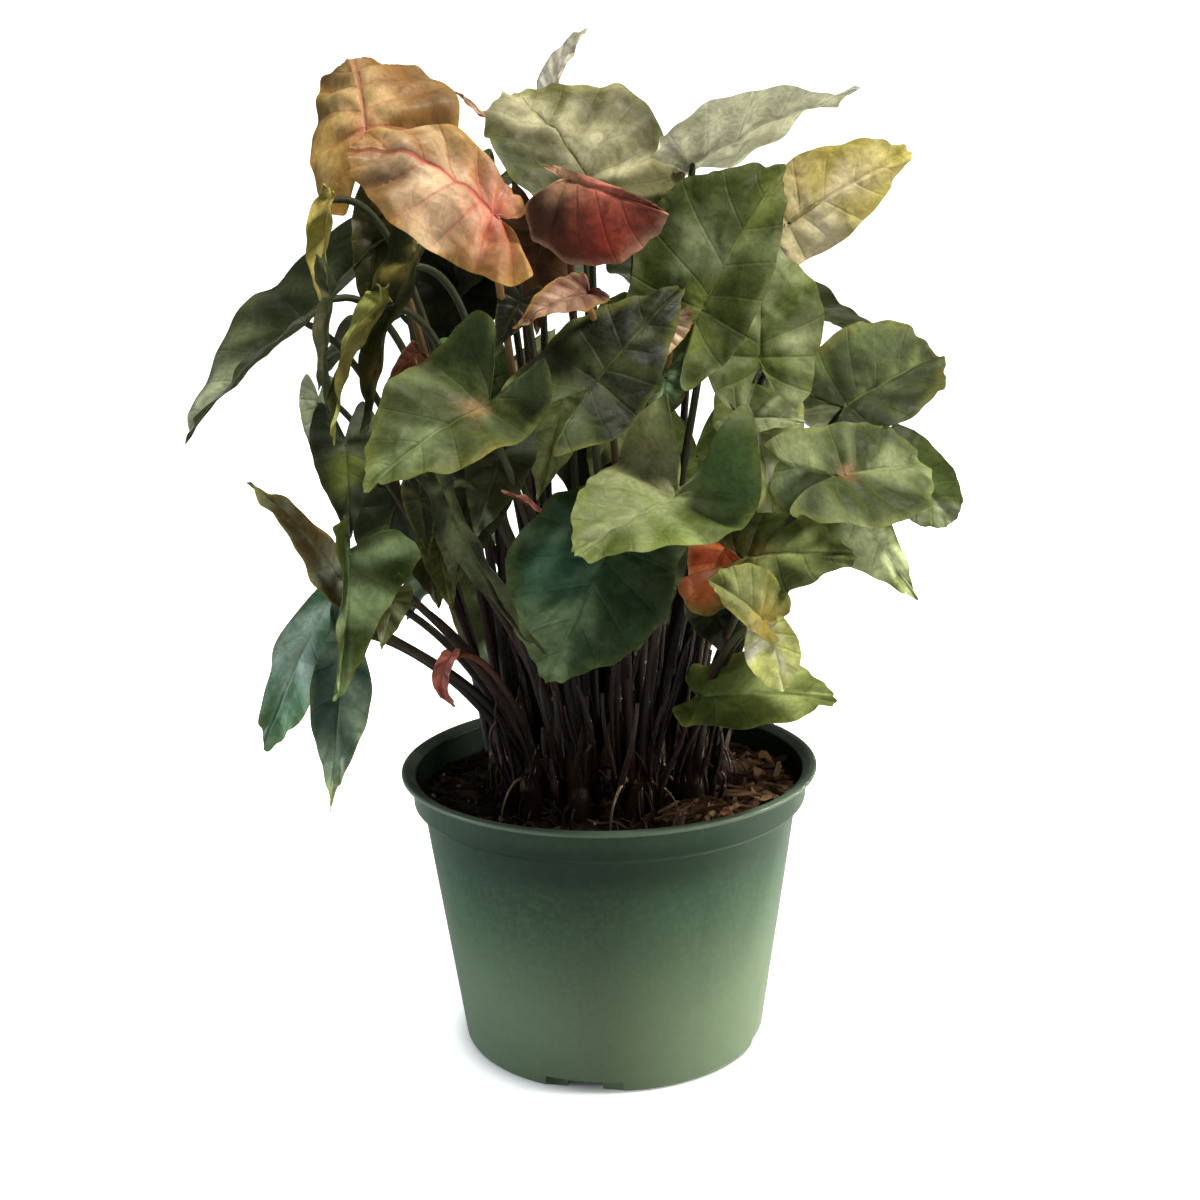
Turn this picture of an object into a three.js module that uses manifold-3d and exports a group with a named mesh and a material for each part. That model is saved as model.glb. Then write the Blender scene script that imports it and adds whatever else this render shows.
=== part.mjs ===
// An arrowhead plant grown in a round moulded nursery pot.
// Millimetres, +Z up. The origin is the centre of the pot's base, on the surface that it stands on.
// The plant's front is its -Y side.
import * as THREE from "three";
import { mergeVertices } from "three/addons/utils/BufferGeometryUtils.js";
import Module from "manifold-3d";

// Pot
const POT_HEIGHT = 114;
const LIP_RADIUS = 82.5;
const LIP_WIDTH = 2.6;
const LIP_DEPTH = 2;
const COLLAR_RADIUS = 78;
const COLLAR_DEPTH = 14;
const BODY_TOP_RADIUS = 74.4;
const BASE_RADIUS = 60.5;
const WALL = 1.2;
const FLOOR = 5.5;
const POT_SIDES = 36;

// Drain notches round the foot of the pot
const NOTCH_COUNT = 4;
const NOTCH_FIRST_ANGLE = -102;
const NOTCH_WIDTH = 31;
const NOTCH_HEIGHT = 4.5;
const NOTCH_DEPTH = 3.5;
const DRAIN_WIDTH = 14;
const DRAIN_REACH = 16;
const DRAIN_SLOT = 8;

// Soil
const SOIL_GAP = 0.4;
const SOIL_LEVEL = 101;
const SOIL_RINGS = [66, 53, 38, 20];
const MOUND_RISE = 4;

// Leafy stems
const STEM_RADIUS = 4.2;
const STEM_FOOT = 88;
const STEM_TOP = 122;
const STEM_SIDES = 8;
const HOLE_RADIUS = 4.9;
const HOLE_SIDES = 8;
const HOLE_FOOT = STEM_FOOT - SOIL_GAP;
const STALK_FOOT = 118;
const STALK_SPREAD = 3.6;
const STALK_RADIUS = 1.7;
const STALK_SIDES = 4;
const STALK_STEPS = 5;
const STALK_BEND = 34;
const STALK_AHEAD = 1.8;
const BLADE_THICKNESS = 0.8;
const BLADE_WAVE = 0.02;
const SHORT_BLADE = 60;

// Half of an arrowhead leaf's outline, from the tip round the basal lobe to the sinus.
// The first number runs along the midrib: 1 is the tip, 0 the petiole and -1 the lobe's far end.
// The second is the distance from the midrib, as a share of the half width.
const POINTED_HALF = [
  [1, 0],
  [0.9, 0.11],
  [0.74, 0.34],
  [0.5, 0.64],
  [0.24, 0.89],
  [-0.02, 1],
  [-0.57, 0.93],
  [-1, 0.61],
  [-0.67, 0.27],
  [-0.13, 0],
];

// The same points on the outline of a rounded, blunt leaf.
const ROUNDED_HALF = [
  [1, 0],
  [0.965, 0.25],
  [0.86, 0.56],
  [0.64, 0.84],
  [0.34, 1],
  [-0.02, 1.03],
  [-0.57, 0.95],
  [-1, 0.61],
  [-0.67, 0.27],
  [-0.13, 0],
];

// A leaf's form, in shares of its length and in degrees. A pair gives the left and the right half.
const PLAIN_LEAF = {
  width: 0.4, // half width
  lobe: 0.42, // reach of the basal lobes behind the petiole
  full: 0, // swelling of the outline between petiole and tip
  round: 0, // 0 for the pointed outline, 1 for the rounded one
  fold: 10, // rise of the half above the midrib's plane
  curl: 0, // further rise of the half at a usual leaf's margin
  rear: 15, // rise of the basal lobes
  arch: 0.06, // rise of the midrib's middle
  bend: 0, // sideways sweep of the midrib
};

const GREEN = 0x4d6f4a;
const DARK_GREEN = 0x2f4639;
const PALE_GREEN = 0x8a9c74;
const PEACH = 0xc99a7c;
const POT_GREEN = 0x4f6855;
const PEAT = 0x2a2019;

// A leaf: where the petiole meets the blade, the blade's tip, the azimuth and elevation that its
// upper face looks to, and what sets its form apart from the plain one.
const leaf = (base, tip, face, form = {}) => ({ base, tip, face, form: { ...PLAIN_LEAF, ...form } });

const STEMS = [
  {
    foot: [-44, 6],
    colour: PEACH,
    leaves: [
      leaf([-84, -8, 361], [-95, 42, 382], [-80, 60], {
        width: [0.42, 0.63], lobe: 0.5, round: [0.1, 0.85], fold: [-18, 6], curl: [-25, -20],
        rear: -35, arch: 0.2,
      }),
      leaf([-110, -5, 292], [-158, -15, 248], [-115, 40], {
        width: [0.28, 0.46], lobe: [0.7, 0.8], fold: [50, -5], rear: 0,
      }),
      leaf([-80, 10, 223], [-92, 2, 181], [-100, 15]),
      leaf([-81, -8, 327], [-87, -16, 289], [-80, 10], { width: 0.26 }),
    ],
  },
  {
    foot: [-38, -10],
    colour: DARK_GREEN,
    leaves: [
      leaf([-95, -46, 304], [-95, -52, 254], [-150, 8], { width: [0.22, 0.13], lobe: 0.3, fold: 20 }),
      leaf([-75, -50, 302], [-94, -62, 253], [-150, 12], {
        width: 0.2, lobe: 0.1, full: 0.4, fold: [40, 10], bend: -0.06,
      }),
      leaf([-66, -42, 315], [-84, -55, 254], [-150, 5], { width: 0.25 }),
      leaf([-95, -28, 249], [-94, -35, 214], [-90, 20], { width: 0.36 }),
      leaf([-105, -22, 264], [-107, -23, 241], [-90, 10], { width: 0.3 }),
      leaf([-64, -50, 284], [-76, -52, 274], [-90, 20], { width: 0.3, lobe: 0.1 }),
      leaf([-95, -32, 338], [-98, -36, 293], [-150, 5], { width: [0.11, 0.14], lobe: 0.1, full: 1.5 }),
      leaf([-50, -20, 262], [-64, -34, 214], [-110, 20]),
    ],
  },
  {
    foot: [-30, -28],
    colour: GREEN,
    leaves: [
      leaf([-97, -45, 201], [-128, -50, 239], [-85, 70], { width: [0.38, 0.18], round: 0.3, rear: 0 }),
      leaf([-92, -55, 213], [-97, -75, 163], [-60, 20], {
        width: 0.5, lobe: 0.2, full: -0.35, fold: [0, 60],
      }),
      leaf([-102, -26, 192], [-131, -34, 132], [-115, 10], {
        width: [0.13, 0.09], lobe: 0.2, full: 0.9, round: 1,
      }),
      leaf([-97, -45, 178], [-105, -50, 113], [-80, 8], { width: 0.1, lobe: 0.25, full: 1.3 }),
      leaf([-78, -45, 193], [-83, -50, 175], [-90, 20], { width: 0.35 }),
      leaf([-57, -50, 173], [-56, -55, 154], [-125, 20], {
        width: 0.22, lobe: 0.1, round: 0.8, bend: -0.25,
      }),
    ],
  },
  {
    foot: [-12, -36],
    colour: GREEN,
    leaves: [
      leaf([-40, -85, 269], [-78, -118, 247], [-100, 40], {
        width: [0.39, 0.48], lobe: 0.52, full: 0.1, round: 0.3, fold: [5, 10], rear: 60,
      }),
      leaf([-56, -78, 240], [-21, -100, 185], [-165, 35], { width: 0.11, full: 0.3 }),
      leaf([-60, -50, 214], [-56, -55, 190], [-90, 20], { width: 0.3 }),
      leaf([-66, -55, 232], [-63, -58, 212], [-90, 20], { width: 0.3 }),
      leaf([-36, -60, 248], [-46, -65, 219], [-90, 20]),
      leaf([-47, -50, 238], [-55, -58, 199], [-90, 12]),
      leaf([-21, -60, 226], [-36, -75, 238], [-90, 60], { width: 0.15 }),
      leaf([-13, -50, 268], [-24, -58, 231], [-90, 10], { width: 0.32 }),
    ],
  },
  {
    foot: [-22, -8],
    colour: PEACH,
    leaves: [
      leaf([-35, -72, 332], [-82, -82, 354], [-88, 35], {
        width: [0.41, 0.25], lobe: [0.36, 0.2], full: [0.27, 0.4], round: 1, fold: -3, curl: -12,
        rear: 0, arch: 0.08, bend: -0.1,
      }),
      leaf([-28, -50, 301], [-37, -55, 285], [-90, 20]),
      leaf([-22, 12, 322], [-24, -2, 284], [-90, 15], { width: 0.38 }),
    ],
  },
  {
    foot: [-4, 4],
    colour: PALE_GREEN,
    leaves: [
      leaf([-3, 4, 341], [-32, 40, 373], [-75, 38], {
        width: [0.48, 0.6], lobe: 0.5, full: 0.1, round: 1, rear: 0,
      }),
      leaf([-17, 52, 370], [-2, 48, 398], [-165, -20], { bend: 0.1 }),
      leaf([34, -5, 346], [95, -20, 372], [90, 68], {
        width: 0.28, lobe: 0.15, full: 0.8, arch: 0.03,
      }),
      leaf([-11, -30, 342], [25, -44, 329], [-90, 12], {
        width: [0.08, 0.6], lobe: 0.28, full: [0, 0.15], round: 1, fold: 0, curl: [0, -20],
        rear: 0,
      }),
      leaf([-2, -4, 246], [2, -30, 203], [-90, 25]),
      leaf([15, 0, 274], [-5, -20, 231], [-90, 15], { width: 0.45 }),
    ],
  },
  {
    foot: [10, -34],
    colour: PALE_GREEN,
    leaves: [
      leaf([-2, -68, 274], [31, -44, 305], [-95, 38], {
        width: [0.46, 0.37], lobe: 0.72, full: 0.05, fold: [0, -15], rear: 25,
      }),
      leaf([24, -85, 236], [-10, -124, 224], [-72, 66], {
        width: [0.55, 0.5], lobe: [0.9, 0.7], round: 0.4, fold: 3, rear: 86,
      }),
      leaf([2, -80, 219], [-21, -98, 175], [-95, 20], {
        width: [0.46, 0.51], lobe: [0.42, 0.29], full: 0.25, round: 0.6, curl: -12, rear: 0,
      }),
      leaf([16, -60, 209], [10, -65, 175], [-90, 10], { width: 0.38 }),
      leaf([23, -48, 274], [19, -54, 255], [-90, 20]),
      leaf([-4, -60, 304], [-30, -75, 294], [-90, 58], { width: 0.36, lobe: 0.12 }),
    ],
  },
  {
    foot: [32, -28],
    colour: GREEN,
    leaves: [
      leaf([50, -64, 210], [86, -92, 215], [-90, 45], { width: [0.42, 0.61], round: 0.3, fold: 5 }),
      leaf([54, -97, 195], [34, -109, 213], [-80, 30], {
        width: [0.21, 0.42], lobe: 0.25, full: 0.2, round: 0.9,
      }),
      leaf([55, -94, 193], [60, -100, 171], [-90, 15], {
        width: [0.27, 0.31], lobe: 0.1, full: 0.5, round: 1,
      }),
      leaf([45, -40, 209], [34, -47, 191], [-90, 20], { width: 0.62, lobe: 0.35, round: 0.5 }),
      leaf([34, -55, 156], [81, -80, 161], [-90, 48], {
        width: [0.25, 0.26], lobe: 0.15, full: 0.4, round: 0.7,
      }),
      leaf([40, -38, 185], [50, -44, 164], [-90, 20], { width: 0.45 }),
    ],
  },
  {
    foot: [18, -12],
    colour: PALE_GREEN,
    leaves: [
      leaf([36, -44, 295], [67, -28, 345], [-110, 28], {
        width: [0.46, 0.29], lobe: 0.5, full: [0.35, 0.1], round: [0.8, 0.4], fold: [5, -25],
        rear: 25,
      }),
      leaf([59, -18, 275], [60, 2, 319], [-85, 28], {
        width: 0.42, lobe: 0.4, full: 0.25, round: 0.7, rear: 0,
      }),
      leaf([71, 5, 323], [119, 10, 348], [-100, 25], {
        width: [0.33, 0.29], full: 0.2, round: [0.8, 0.3], fold: [0, -25], rear: -10,
      }),
      leaf([51, -50, 258], [72, -60, 257], [-90, 45], { width: [0.59, 0.45] }),
      leaf([36, -4, 238], [38, -26, 194], [-80, 25]),
      leaf([25, -48, 292], [19, -55, 277], [-90, 20]),
      leaf([59, -10, 251], [64, -25, 208], [-85, 15], { width: 0.38 }),
    ],
  },
  {
    foot: [42, -8],
    colour: PALE_GREEN,
    leaves: [
      leaf([93, -4, 255], [134, 28, 269], [-88, 34], {
        width: [0.44, 0.33], lobe: 0.25, full: 0.1, round: 1, curl: 15, rear: 0,
      }),
      leaf([88, -36, 234], [124, -5, 230], [-85, 34], {
        width: [0.4, 0.5], lobe: 0.8, round: 0.9, rear: 5,
      }),
      leaf([86, -28, 232], [115, -46, 188], [-115, 35], {
        width: [0.23, 0.42], lobe: 0.3, fold: [-20, 0], rear: 0,
      }),
      leaf([117, 0, 229], [135, -5, 209], [-85, 20], {
        width: [0.49, 0.54], lobe: 0.6, round: 1, rear: 0,
      }),
    ],
  },
  {
    foot: [-24, 26],
    colour: GREEN,
    leaves: [
      leaf([-45, 42, 338], [-82, 78, 320], [130, 55]),
      leaf([-78, 40, 290], [-118, 62, 258], [150, 40]),
      leaf([-72, 55, 235], [-112, 88, 205], [140, 45]),
      leaf([-40, 85, 262], [-62, 128, 232], [115, 45]),
      leaf([-60, 62, 185], [-88, 92, 150], [135, 40]),
      leaf([-48, 36, 318], [-70, 60, 286], [-120, 35], { width: 0.5 }),
      leaf([-30, 52, 360], [-56, 45, 374], [-90, 60], { width: 0.14, arch: -0.05 }),
      leaf([-56, 30, 299], [-67, 15, 258], [-95, 15], { width: 0.45 }),
      leaf([-47, 34, 173], [-44, 24, 131], [-95, 10]),
      leaf([-73, 42, 205], [-68, 30, 170], [-85, 12], { width: 0.42 }),
      leaf([-24, 48, 173], [-27, 36, 125], [-95, 10]),
    ],
  },
  {
    foot: [2, 34],
    colour: GREEN,
    leaves: [
      leaf([16, 60, 338], [20, 108, 320], [95, 60]),
      leaf([-14, 82, 305], [-24, 130, 282], [100, 50]),
      leaf([26, 78, 298], [40, 125, 272], [75, 50]),
      leaf([2, 90, 240], [4, 135, 208], [90, 45]),
      leaf([-8, 72, 190], [-12, 108, 152], [95, 35]),
      leaf([3, 58, 148], [3, 48, 109], [-88, 10]),
    ],
  },
  {
    foot: [28, 24],
    colour: GREEN,
    leaves: [
      leaf([48, 40, 330], [84, 74, 312], [45, 55]),
      leaf([82, 38, 288], [122, 60, 260], [30, 45]),
      leaf([80, 62, 244], [116, 92, 216], [50, 45]),
      leaf([88, 42, 215], [122, 66, 182], [35, 40]),
      leaf([46, 70, 190], [66, 100, 155], [60, 40]),
      leaf([60, 70, 262], [72, 108, 232], [70, 45]),
      leaf([27, 34, 171], [28, 22, 127], [-85, 10], { width: 0.38 }),
      leaf([54, 40, 223], [57, 28, 188], [-85, 10]),
    ],
  },
];

const wasm = await Module();
wasm.setup();

const radians = THREE.MathUtils.degToRad;
const pair = (value) => (Array.isArray(value) ? value : [value, value]);
const vector = (point) => new THREE.Vector3(...point);

// A closed three.js geometry as a solid that can be joined and cut.
function solid(geometry) {
  const bare = geometry.clone();
  bare.deleteAttribute("normal");
  bare.deleteAttribute("uv");
  const merged = mergeVertices(bare, 1e-3);
  const mesh = new wasm.Mesh({
    numProp: 3,
    vertProperties: merged.attributes.position.array,
    triVerts: new Uint32Array(merged.index.array),
  });
  return new wasm.Manifold(mesh);
}

// A joined or cut solid as a flat-shaded three.js mesh.
function meshOf(body, name, colour, roughness) {
  const made = body.getMesh();
  const geometry = new THREE.BufferGeometry();
  geometry.setAttribute("position", new THREE.BufferAttribute(made.vertProperties, 3));
  geometry.setIndex(new THREE.BufferAttribute(made.triVerts, 1));
  geometry.computeVertexNormals();
  const material = new THREE.MeshStandardMaterial({
    color: colour,
    roughness,
    metalness: 0,
    flatShading: true,
  });
  const mesh = new THREE.Mesh(geometry, material);
  mesh.name = name;
  return mesh;
}

// A solid of revolution about +Z from a profile of [radius, height] that starts and ends on the axis.
function turned(profile, sides) {
  const points = profile.map(([radius, height]) => new THREE.Vector2(radius, height));
  return new THREE.LatheGeometry(points, sides).rotateX(Math.PI / 2);
}

// The pot's outer radius at a height on its tapering body.
function bodyRadius(height) {
  const share = height / (POT_HEIGHT - COLLAR_DEPTH);
  return BASE_RADIUS + (BODY_TOP_RADIUS - BASE_RADIUS) * share;
}

// A thin-walled cup: tapering body, step out to the collar, and a flat lip that stands proud of it.
function potShell() {
  const step = POT_HEIGHT - COLLAR_DEPTH;
  const underLip = POT_HEIGHT - LIP_DEPTH;
  const outside = [
    [0, 0],
    [BASE_RADIUS - 1, 0],
    [bodyRadius(1.2), 1.2],
    [bodyRadius(step - 1), step - 1],
    [COLLAR_RADIUS - 0.8, step],
    [COLLAR_RADIUS, step + 1.4],
    [COLLAR_RADIUS + 0.3, underLip - 0.6],
    [LIP_RADIUS - 0.5, underLip],
    [LIP_RADIUS, underLip + 0.6],
    [LIP_RADIUS, POT_HEIGHT - 0.6],
    [LIP_RADIUS - 0.6, POT_HEIGHT],
  ];
  const inside = [
    [LIP_RADIUS - LIP_WIDTH, POT_HEIGHT],
    [COLLAR_RADIUS - WALL, underLip],
    [COLLAR_RADIUS - WALL, step + 0.6],
    [bodyRadius(step) - WALL, step - 1.4],
    [bodyRadius(FLOOR) - WALL, FLOOR],
    [0, FLOOR],
  ];
  return solid(turned([...outside, ...inside], POT_SIDES));
}

// A block across the pot's foot, from the given radius inwards, turned to the notch's angle.
function footBlock(angle, outerRadius, depth, width, height) {
  const block = new THREE.BoxGeometry(depth, width, height + 1);
  block.translate(outerRadius - depth / 2, 0, (height - 1) / 2);
  return solid(block.rotateZ(radians(angle)));
}

// One drain notch: a wide shallow recess, and a narrow channel that turns up through the floor.
function drainNotch(angle) {
  const face = BASE_RADIUS - NOTCH_DEPTH;
  const outer = BASE_RADIUS + 4;
  const recess = footBlock(angle, outer, outer - face, NOTCH_WIDTH, NOTCH_HEIGHT);
  const channel = footBlock(angle, face + 1, DRAIN_REACH, DRAIN_WIDTH, NOTCH_HEIGHT);
  const slotRim = face + 1 - DRAIN_REACH + DRAIN_SLOT;
  const slot = footBlock(angle, slotRim, DRAIN_SLOT, DRAIN_WIDTH, FLOOR + 1);
  return recess.add(channel).add(slot);
}

function pot() {
  let body = potShell();
  for (let i = 0; i < NOTCH_COUNT; i++) {
    const angle = NOTCH_FIRST_ANGLE + (i * 360) / NOTCH_COUNT;
    body = body.subtract(drainNotch(angle));
  }
  return meshOf(body, "pot", POT_GREEN, 0.45);
}

// Height of the soil's surface above its level: lumps, and a mound towards the right-hand side.
function soilRise(x, y) {
  const edge = 1 - (Math.hypot(x, y) / COLLAR_RADIUS) ** 6;
  const lumps = Math.sin(x * 0.23 + 1) * Math.sin(y * 0.19) + 0.7 * Math.sin(x * 0.41 - y * 0.33);
  const mound = THREE.MathUtils.smoothstep(x, -10, 55);
  return edge * (lumps + MOUND_RISE * mound);
}

// The soil fills the pot from its floor to its lumpy surface.
function soilFill() {
  const step = POT_HEIGHT - COLLAR_DEPTH;
  const rim = COLLAR_RADIUS - WALL - SOIL_GAP;
  const foot = FLOOR + SOIL_GAP;
  const profile = [
    [0, foot],
    [bodyRadius(foot) - WALL - SOIL_GAP, foot],
    [bodyRadius(step) - WALL - SOIL_GAP, step - 1.4 + SOIL_GAP],
    [rim, step + 0.6 + SOIL_GAP],
    [rim, SOIL_LEVEL + SOIL_GAP],
    ...SOIL_RINGS.map((radius) => [radius, SOIL_LEVEL]),
    [0, SOIL_LEVEL],
  ];
  const geometry = turned(profile, POT_SIDES);
  const place = geometry.attributes.position;
  for (let i = 0; i < place.count; i++) {
    const onSurface = Math.abs(place.getZ(i) - SOIL_LEVEL) < SOIL_GAP / 2;
    if (onSurface) place.setZ(i, SOIL_LEVEL + soilRise(place.getX(i), place.getY(i)));
  }
  return solid(geometry);
}

// An upright round peg on the soil, for a stem's foot and for the hole that it stands in.
function peg([x, y], radius, foot, top, sides) {
  const profile = [
    [0, foot],
    [radius, foot],
    [radius, top],
    [0, top],
  ];
  return solid(turned(profile, sides).translate(x, y, 0));
}

function soil() {
  let body = soilFill();
  for (const { foot } of STEMS) {
    const hole = peg(foot, HOLE_RADIUS, HOLE_FOOT, STEM_TOP, HOLE_SIDES);
    body = body.subtract(hole);
  }
  return meshOf(body, "soil", PEAT, 0.95);
}

// One half of a leaf's outline: 0 for the left half and 1 for the right one.
function halfOutline(form, side) {
  const [width, lobe, full, round] = ["width", "lobe", "full", "round"].map((key) => pair(form[key])[side]);
  return POINTED_HALF.map((place, i) => {
    const along = THREE.MathUtils.lerp(place[0], ROUNDED_HALF[i][0], round);
    const across = THREE.MathUtils.lerp(place[1], ROUNDED_HALF[i][1], round);
    if (along <= 0) return [along * lobe, across * width];
    return [along, across * width * (1 + full * 4 * along * (1 - along))];
  });
}

// The whole outline, from the tip down the left half and back up the right one.
function outline(form) {
  const left = halfOutline(form, 0);
  const right = halfOutline(form, 1);
  const back = right.slice(1, -1).reverse();
  return [...left, ...back.map(([along, across]) => [along, -across])];
}

// A leaf's own axes: along the midrib, up out of the upper face, and to the left.
function leafAxes({ base, tip, face }) {
  const start = vector(base);
  const rib = vector(tip).sub(start);
  const length = rib.length();
  rib.normalize();
  const [azimuth, elevation] = face.map(radians);
  const up = new THREE.Vector3(Math.cos(azimuth), Math.sin(azimuth), 0);
  up.multiplyScalar(Math.cos(elevation)).setZ(Math.sin(elevation));
  up.addScaledVector(rib, -up.dot(rib)).normalize();
  const left = new THREE.Vector3().crossVectors(up, rib);
  return { start, length, rib, up, left };
}

// A point of the blade's middle surface, which folds, curls, arches and waves, from its place in the
// flat outline.
function bladePoint(axes, form, [along, across]) {
  const [fold, curl, rear] = ["fold", "curl", "rear"].map((key) => {
    return radians(pair(form[key])[across > 0 ? 0 : 1]);
  });
  const slant = fold + (curl * Math.abs(across)) / (2 * PLAIN_LEAF.width);
  const belly = along > 0 ? 4 * along * (1 - along) : 0.8 * along;
  const middle = (0.1 - along) ** 2 / 0.8;
  const behind = along > 0.1 ? 0 : along < -0.3 ? -along - 0.1 : middle;
  const wave = (along ** 2 + across ** 2) * Math.sin(5 * Math.atan2(across, along));
  const ahead = along + behind * (1 - Math.cos(rear));
  const aside = across * Math.cos(slant) + form.bend * belly;
  const rise = form.arch * belly + behind * Math.sin(rear) + BLADE_WAVE * wave;
  return axes.start
    .clone()
    .addScaledVector(axes.rib, ahead * axes.length)
    .addScaledVector(axes.left, aside * axes.length)
    .addScaledVector(axes.up, (rise + Math.abs(across) * Math.sin(slant)) * axes.length);
}

// Where the stalk meets the blade, as places in the flat outline: a small ring just ahead of the sinus.
function stalkRing(length) {
  return circle(STALK_RADIUS).map(([along, across]) => {
    return [(along + STALK_AHEAD) / length, across / length];
  });
}

// The corners of a regular polygon, anticlockwise from the first axis.
function circle(radius) {
  return Array.from({ length: STALK_SIDES }, (_, i) => {
    const turn = (i / STALK_SIDES) * 2 * Math.PI;
    return [radius * Math.cos(turn), radius * Math.sin(turn)];
  });
}

// Triangles between the stalk's ring and a longer ring round it, each step taken by the ring that lags.
function ringStrip(inner, outer, outerStart) {
  const triangles = [];
  let i = 0;
  let j = 0;
  while (i < inner || j < outer) {
    const a = i % inner;
    const b = outerStart + (j % outer);
    if (j < outer && (j + 0.5) / outer <= (i + 0.5) / inner) {
      triangles.push([a, b, outerStart + ((j + 1) % outer)]);
      j++;
    } else {
      triangles.push([a, b, (i + 1) % inner]);
      i++;
    }
  }
  return triangles;
}

// The middle surface as rings of points round the stalk, and the triangles between them.
function bladeSurface(axes, form) {
  const edge = outline(form);
  const shares = axes.length > SHORT_BLADE ? [0.5, 1] : [1];
  const places = stalkRing(axes.length);
  for (const share of shares) {
    places.push(...edge.map(([along, across]) => [along * share, across * share]));
  }
  const triangles = ringStrip(STALK_SIDES, edge.length, STALK_SIDES);
  for (let inner = STALK_SIDES; inner < places.length - edge.length; inner += edge.length) {
    const outer = inner + edge.length;
    edge.forEach((_, i) => {
      const next = (i + 1) % edge.length;
      triangles.push([inner + i, outer + i, outer + next], [inner + i, outer + next, inner + next]);
    });
  }
  const points = places.map((place) => bladePoint(axes, form, place));
  return { points, triangles, rim: places.length - edge.length };
}

// The two faces of the blade: the middle surface shifted both ways along its normals.
function bladeFaces(points, triangles) {
  const surface = new THREE.BufferGeometry().setFromPoints(points).setIndex(triangles.flat());
  surface.computeVertexNormals();
  const shifted = (by) =>
    points.map((point, i) => {
      const normal = new THREE.Vector3().fromBufferAttribute(surface.attributes.normal, i);
      return point.clone().addScaledVector(normal, by);
    });
  return [...shifted(BLADE_THICKNESS / 2), ...shifted(-BLADE_THICKNESS / 2)];
}

// How far each leaf stands out from its stem for each millimetre that it rises.
function slopes(foot, leaves) {
  return leaves.map(({ base: [x, y, z] }) => {
    const slope = new THREE.Vector2(x - foot[0], y - foot[1]);
    return slope.divideScalar(z - STALK_FOOT);
  });
}

// Where the stalks leave the stem: those that lean further start further out, so that none cross.
function stalkFeet(foot, leaves) {
  const leans = slopes(foot, leaves);
  const middle = new THREE.Vector2();
  leans.forEach((lean) => middle.addScaledVector(lean, 1 / leans.length));
  const offsets = leans.map((lean) => lean.clone().sub(middle));
  const widest = Math.max(...offsets.map((offset) => offset.length()));
  return offsets.map((offset) => {
    const place = offset.multiplyScalar(STALK_SPREAD / widest);
    return new THREE.Vector3(foot[0] + place.x, foot[1] + place.y, STALK_FOOT);
  });
}

// The stalk's route: up from the stem, leaning to its leaf, and into the blade from below.
function stalkCurve(bottom, { start, rib, up }) {
  const top = start.clone().addScaledVector(rib, STALK_AHEAD);
  const span = start.distanceTo(bottom);
  const rising = start.clone().sub(bottom).multiplyScalar(0.35).setZ(span * 0.9).normalize();
  const arriving = up.clone().multiplyScalar(0.85).addScaledVector(rib, 0.35).normalize();
  const first = bottom.clone().addScaledVector(rising, span / 2);
  const second = top.clone().addScaledVector(arriving, -Math.min(span * 0.28, STALK_BEND));
  return new THREE.CubicBezierCurve3(bottom, first, second, top);
}

// The stalk's sections below the blade, from the top one down, each turned as little as can be.
function stalkRings(bottom, axes) {
  const curve = stalkCurve(bottom, axes);
  const across = axes.rib.clone();
  const rings = [];
  for (let step = STALK_STEPS - 1; step >= 0; step--) {
    const share = step / STALK_STEPS;
    const centre = curve.getPoint(share);
    const tangent = curve.getTangent(share);
    across.addScaledVector(tangent, -across.dot(tangent)).normalize();
    const side = new THREE.Vector3().crossVectors(tangent, across);
    const ring = circle(STALK_RADIUS).map(([x, y]) =>
      centre.clone().addScaledVector(across, x).addScaledVector(side, y),
    );
    rings.push(...ring);
  }
  return rings;
}

// A fan over one ring of the stalk, which starts at the given point.
function cap(start) {
  return Array.from({ length: STALK_SIDES - 2 }, (_, i) => [start, start + i + 1, start + i + 2]);
}

// A leaf on its stalk as one closed body: the blade has the same triangles on both faces.
function grownLeaf(bottom, { base, tip, face, form }) {
  const axes = leafAxes({ base, tip, face });
  const { points, triangles, rim } = bladeSurface(axes, form);
  const count = points.length;
  const faces = [...cap(0), ...triangles];
  triangles.forEach(([a, b, c]) => faces.push([c + count, b + count, a + count]));
  for (let i = rim; i < count; i++) {
    const next = i + 1 < count ? i + 1 : rim;
    faces.push([i, i + count, next + count], [i, next + count, next]);
  }
  for (let step = 0; step < STALK_STEPS; step++) {
    const lower = 2 * count + step * STALK_SIDES;
    const upper = step === 0 ? count : lower - STALK_SIDES;
    for (let i = 0; i < STALK_SIDES; i++) {
      const next = (i + 1) % STALK_SIDES;
      faces.push([lower + i, lower + next, upper + next], [lower + i, upper + next, upper + i]);
    }
  }
  const foot = 2 * count + (STALK_STEPS - 1) * STALK_SIDES;
  cap(foot).forEach(([a, b, c]) => faces.push([c, b, a]));
  const geometry = new THREE.BufferGeometry();
  geometry.setFromPoints([...bladeFaces(points, triangles), ...stalkRings(bottom, axes)]);
  return solid(geometry.setIndex(faces.flat()));
}

// One leafy stem: its foot in the soil, and the stalks and blades that grow from it, in one piece.
function leafyStem({ foot, colour, leaves }, index) {
  let body = peg(foot, STEM_RADIUS, STEM_FOOT, STEM_TOP, STEM_SIDES);
  const bottoms = stalkFeet(foot, leaves);
  leaves.forEach((grown, i) => {
    body = body.add(grownLeaf(bottoms[i], grown));
  });
  return meshOf(body, `leafy_stem_${index + 1}`, colour, 0.55);
}

const plant = new THREE.Group();
plant.add(pot(), soil(), ...STEMS.map(leafyStem));

export default plant;
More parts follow.
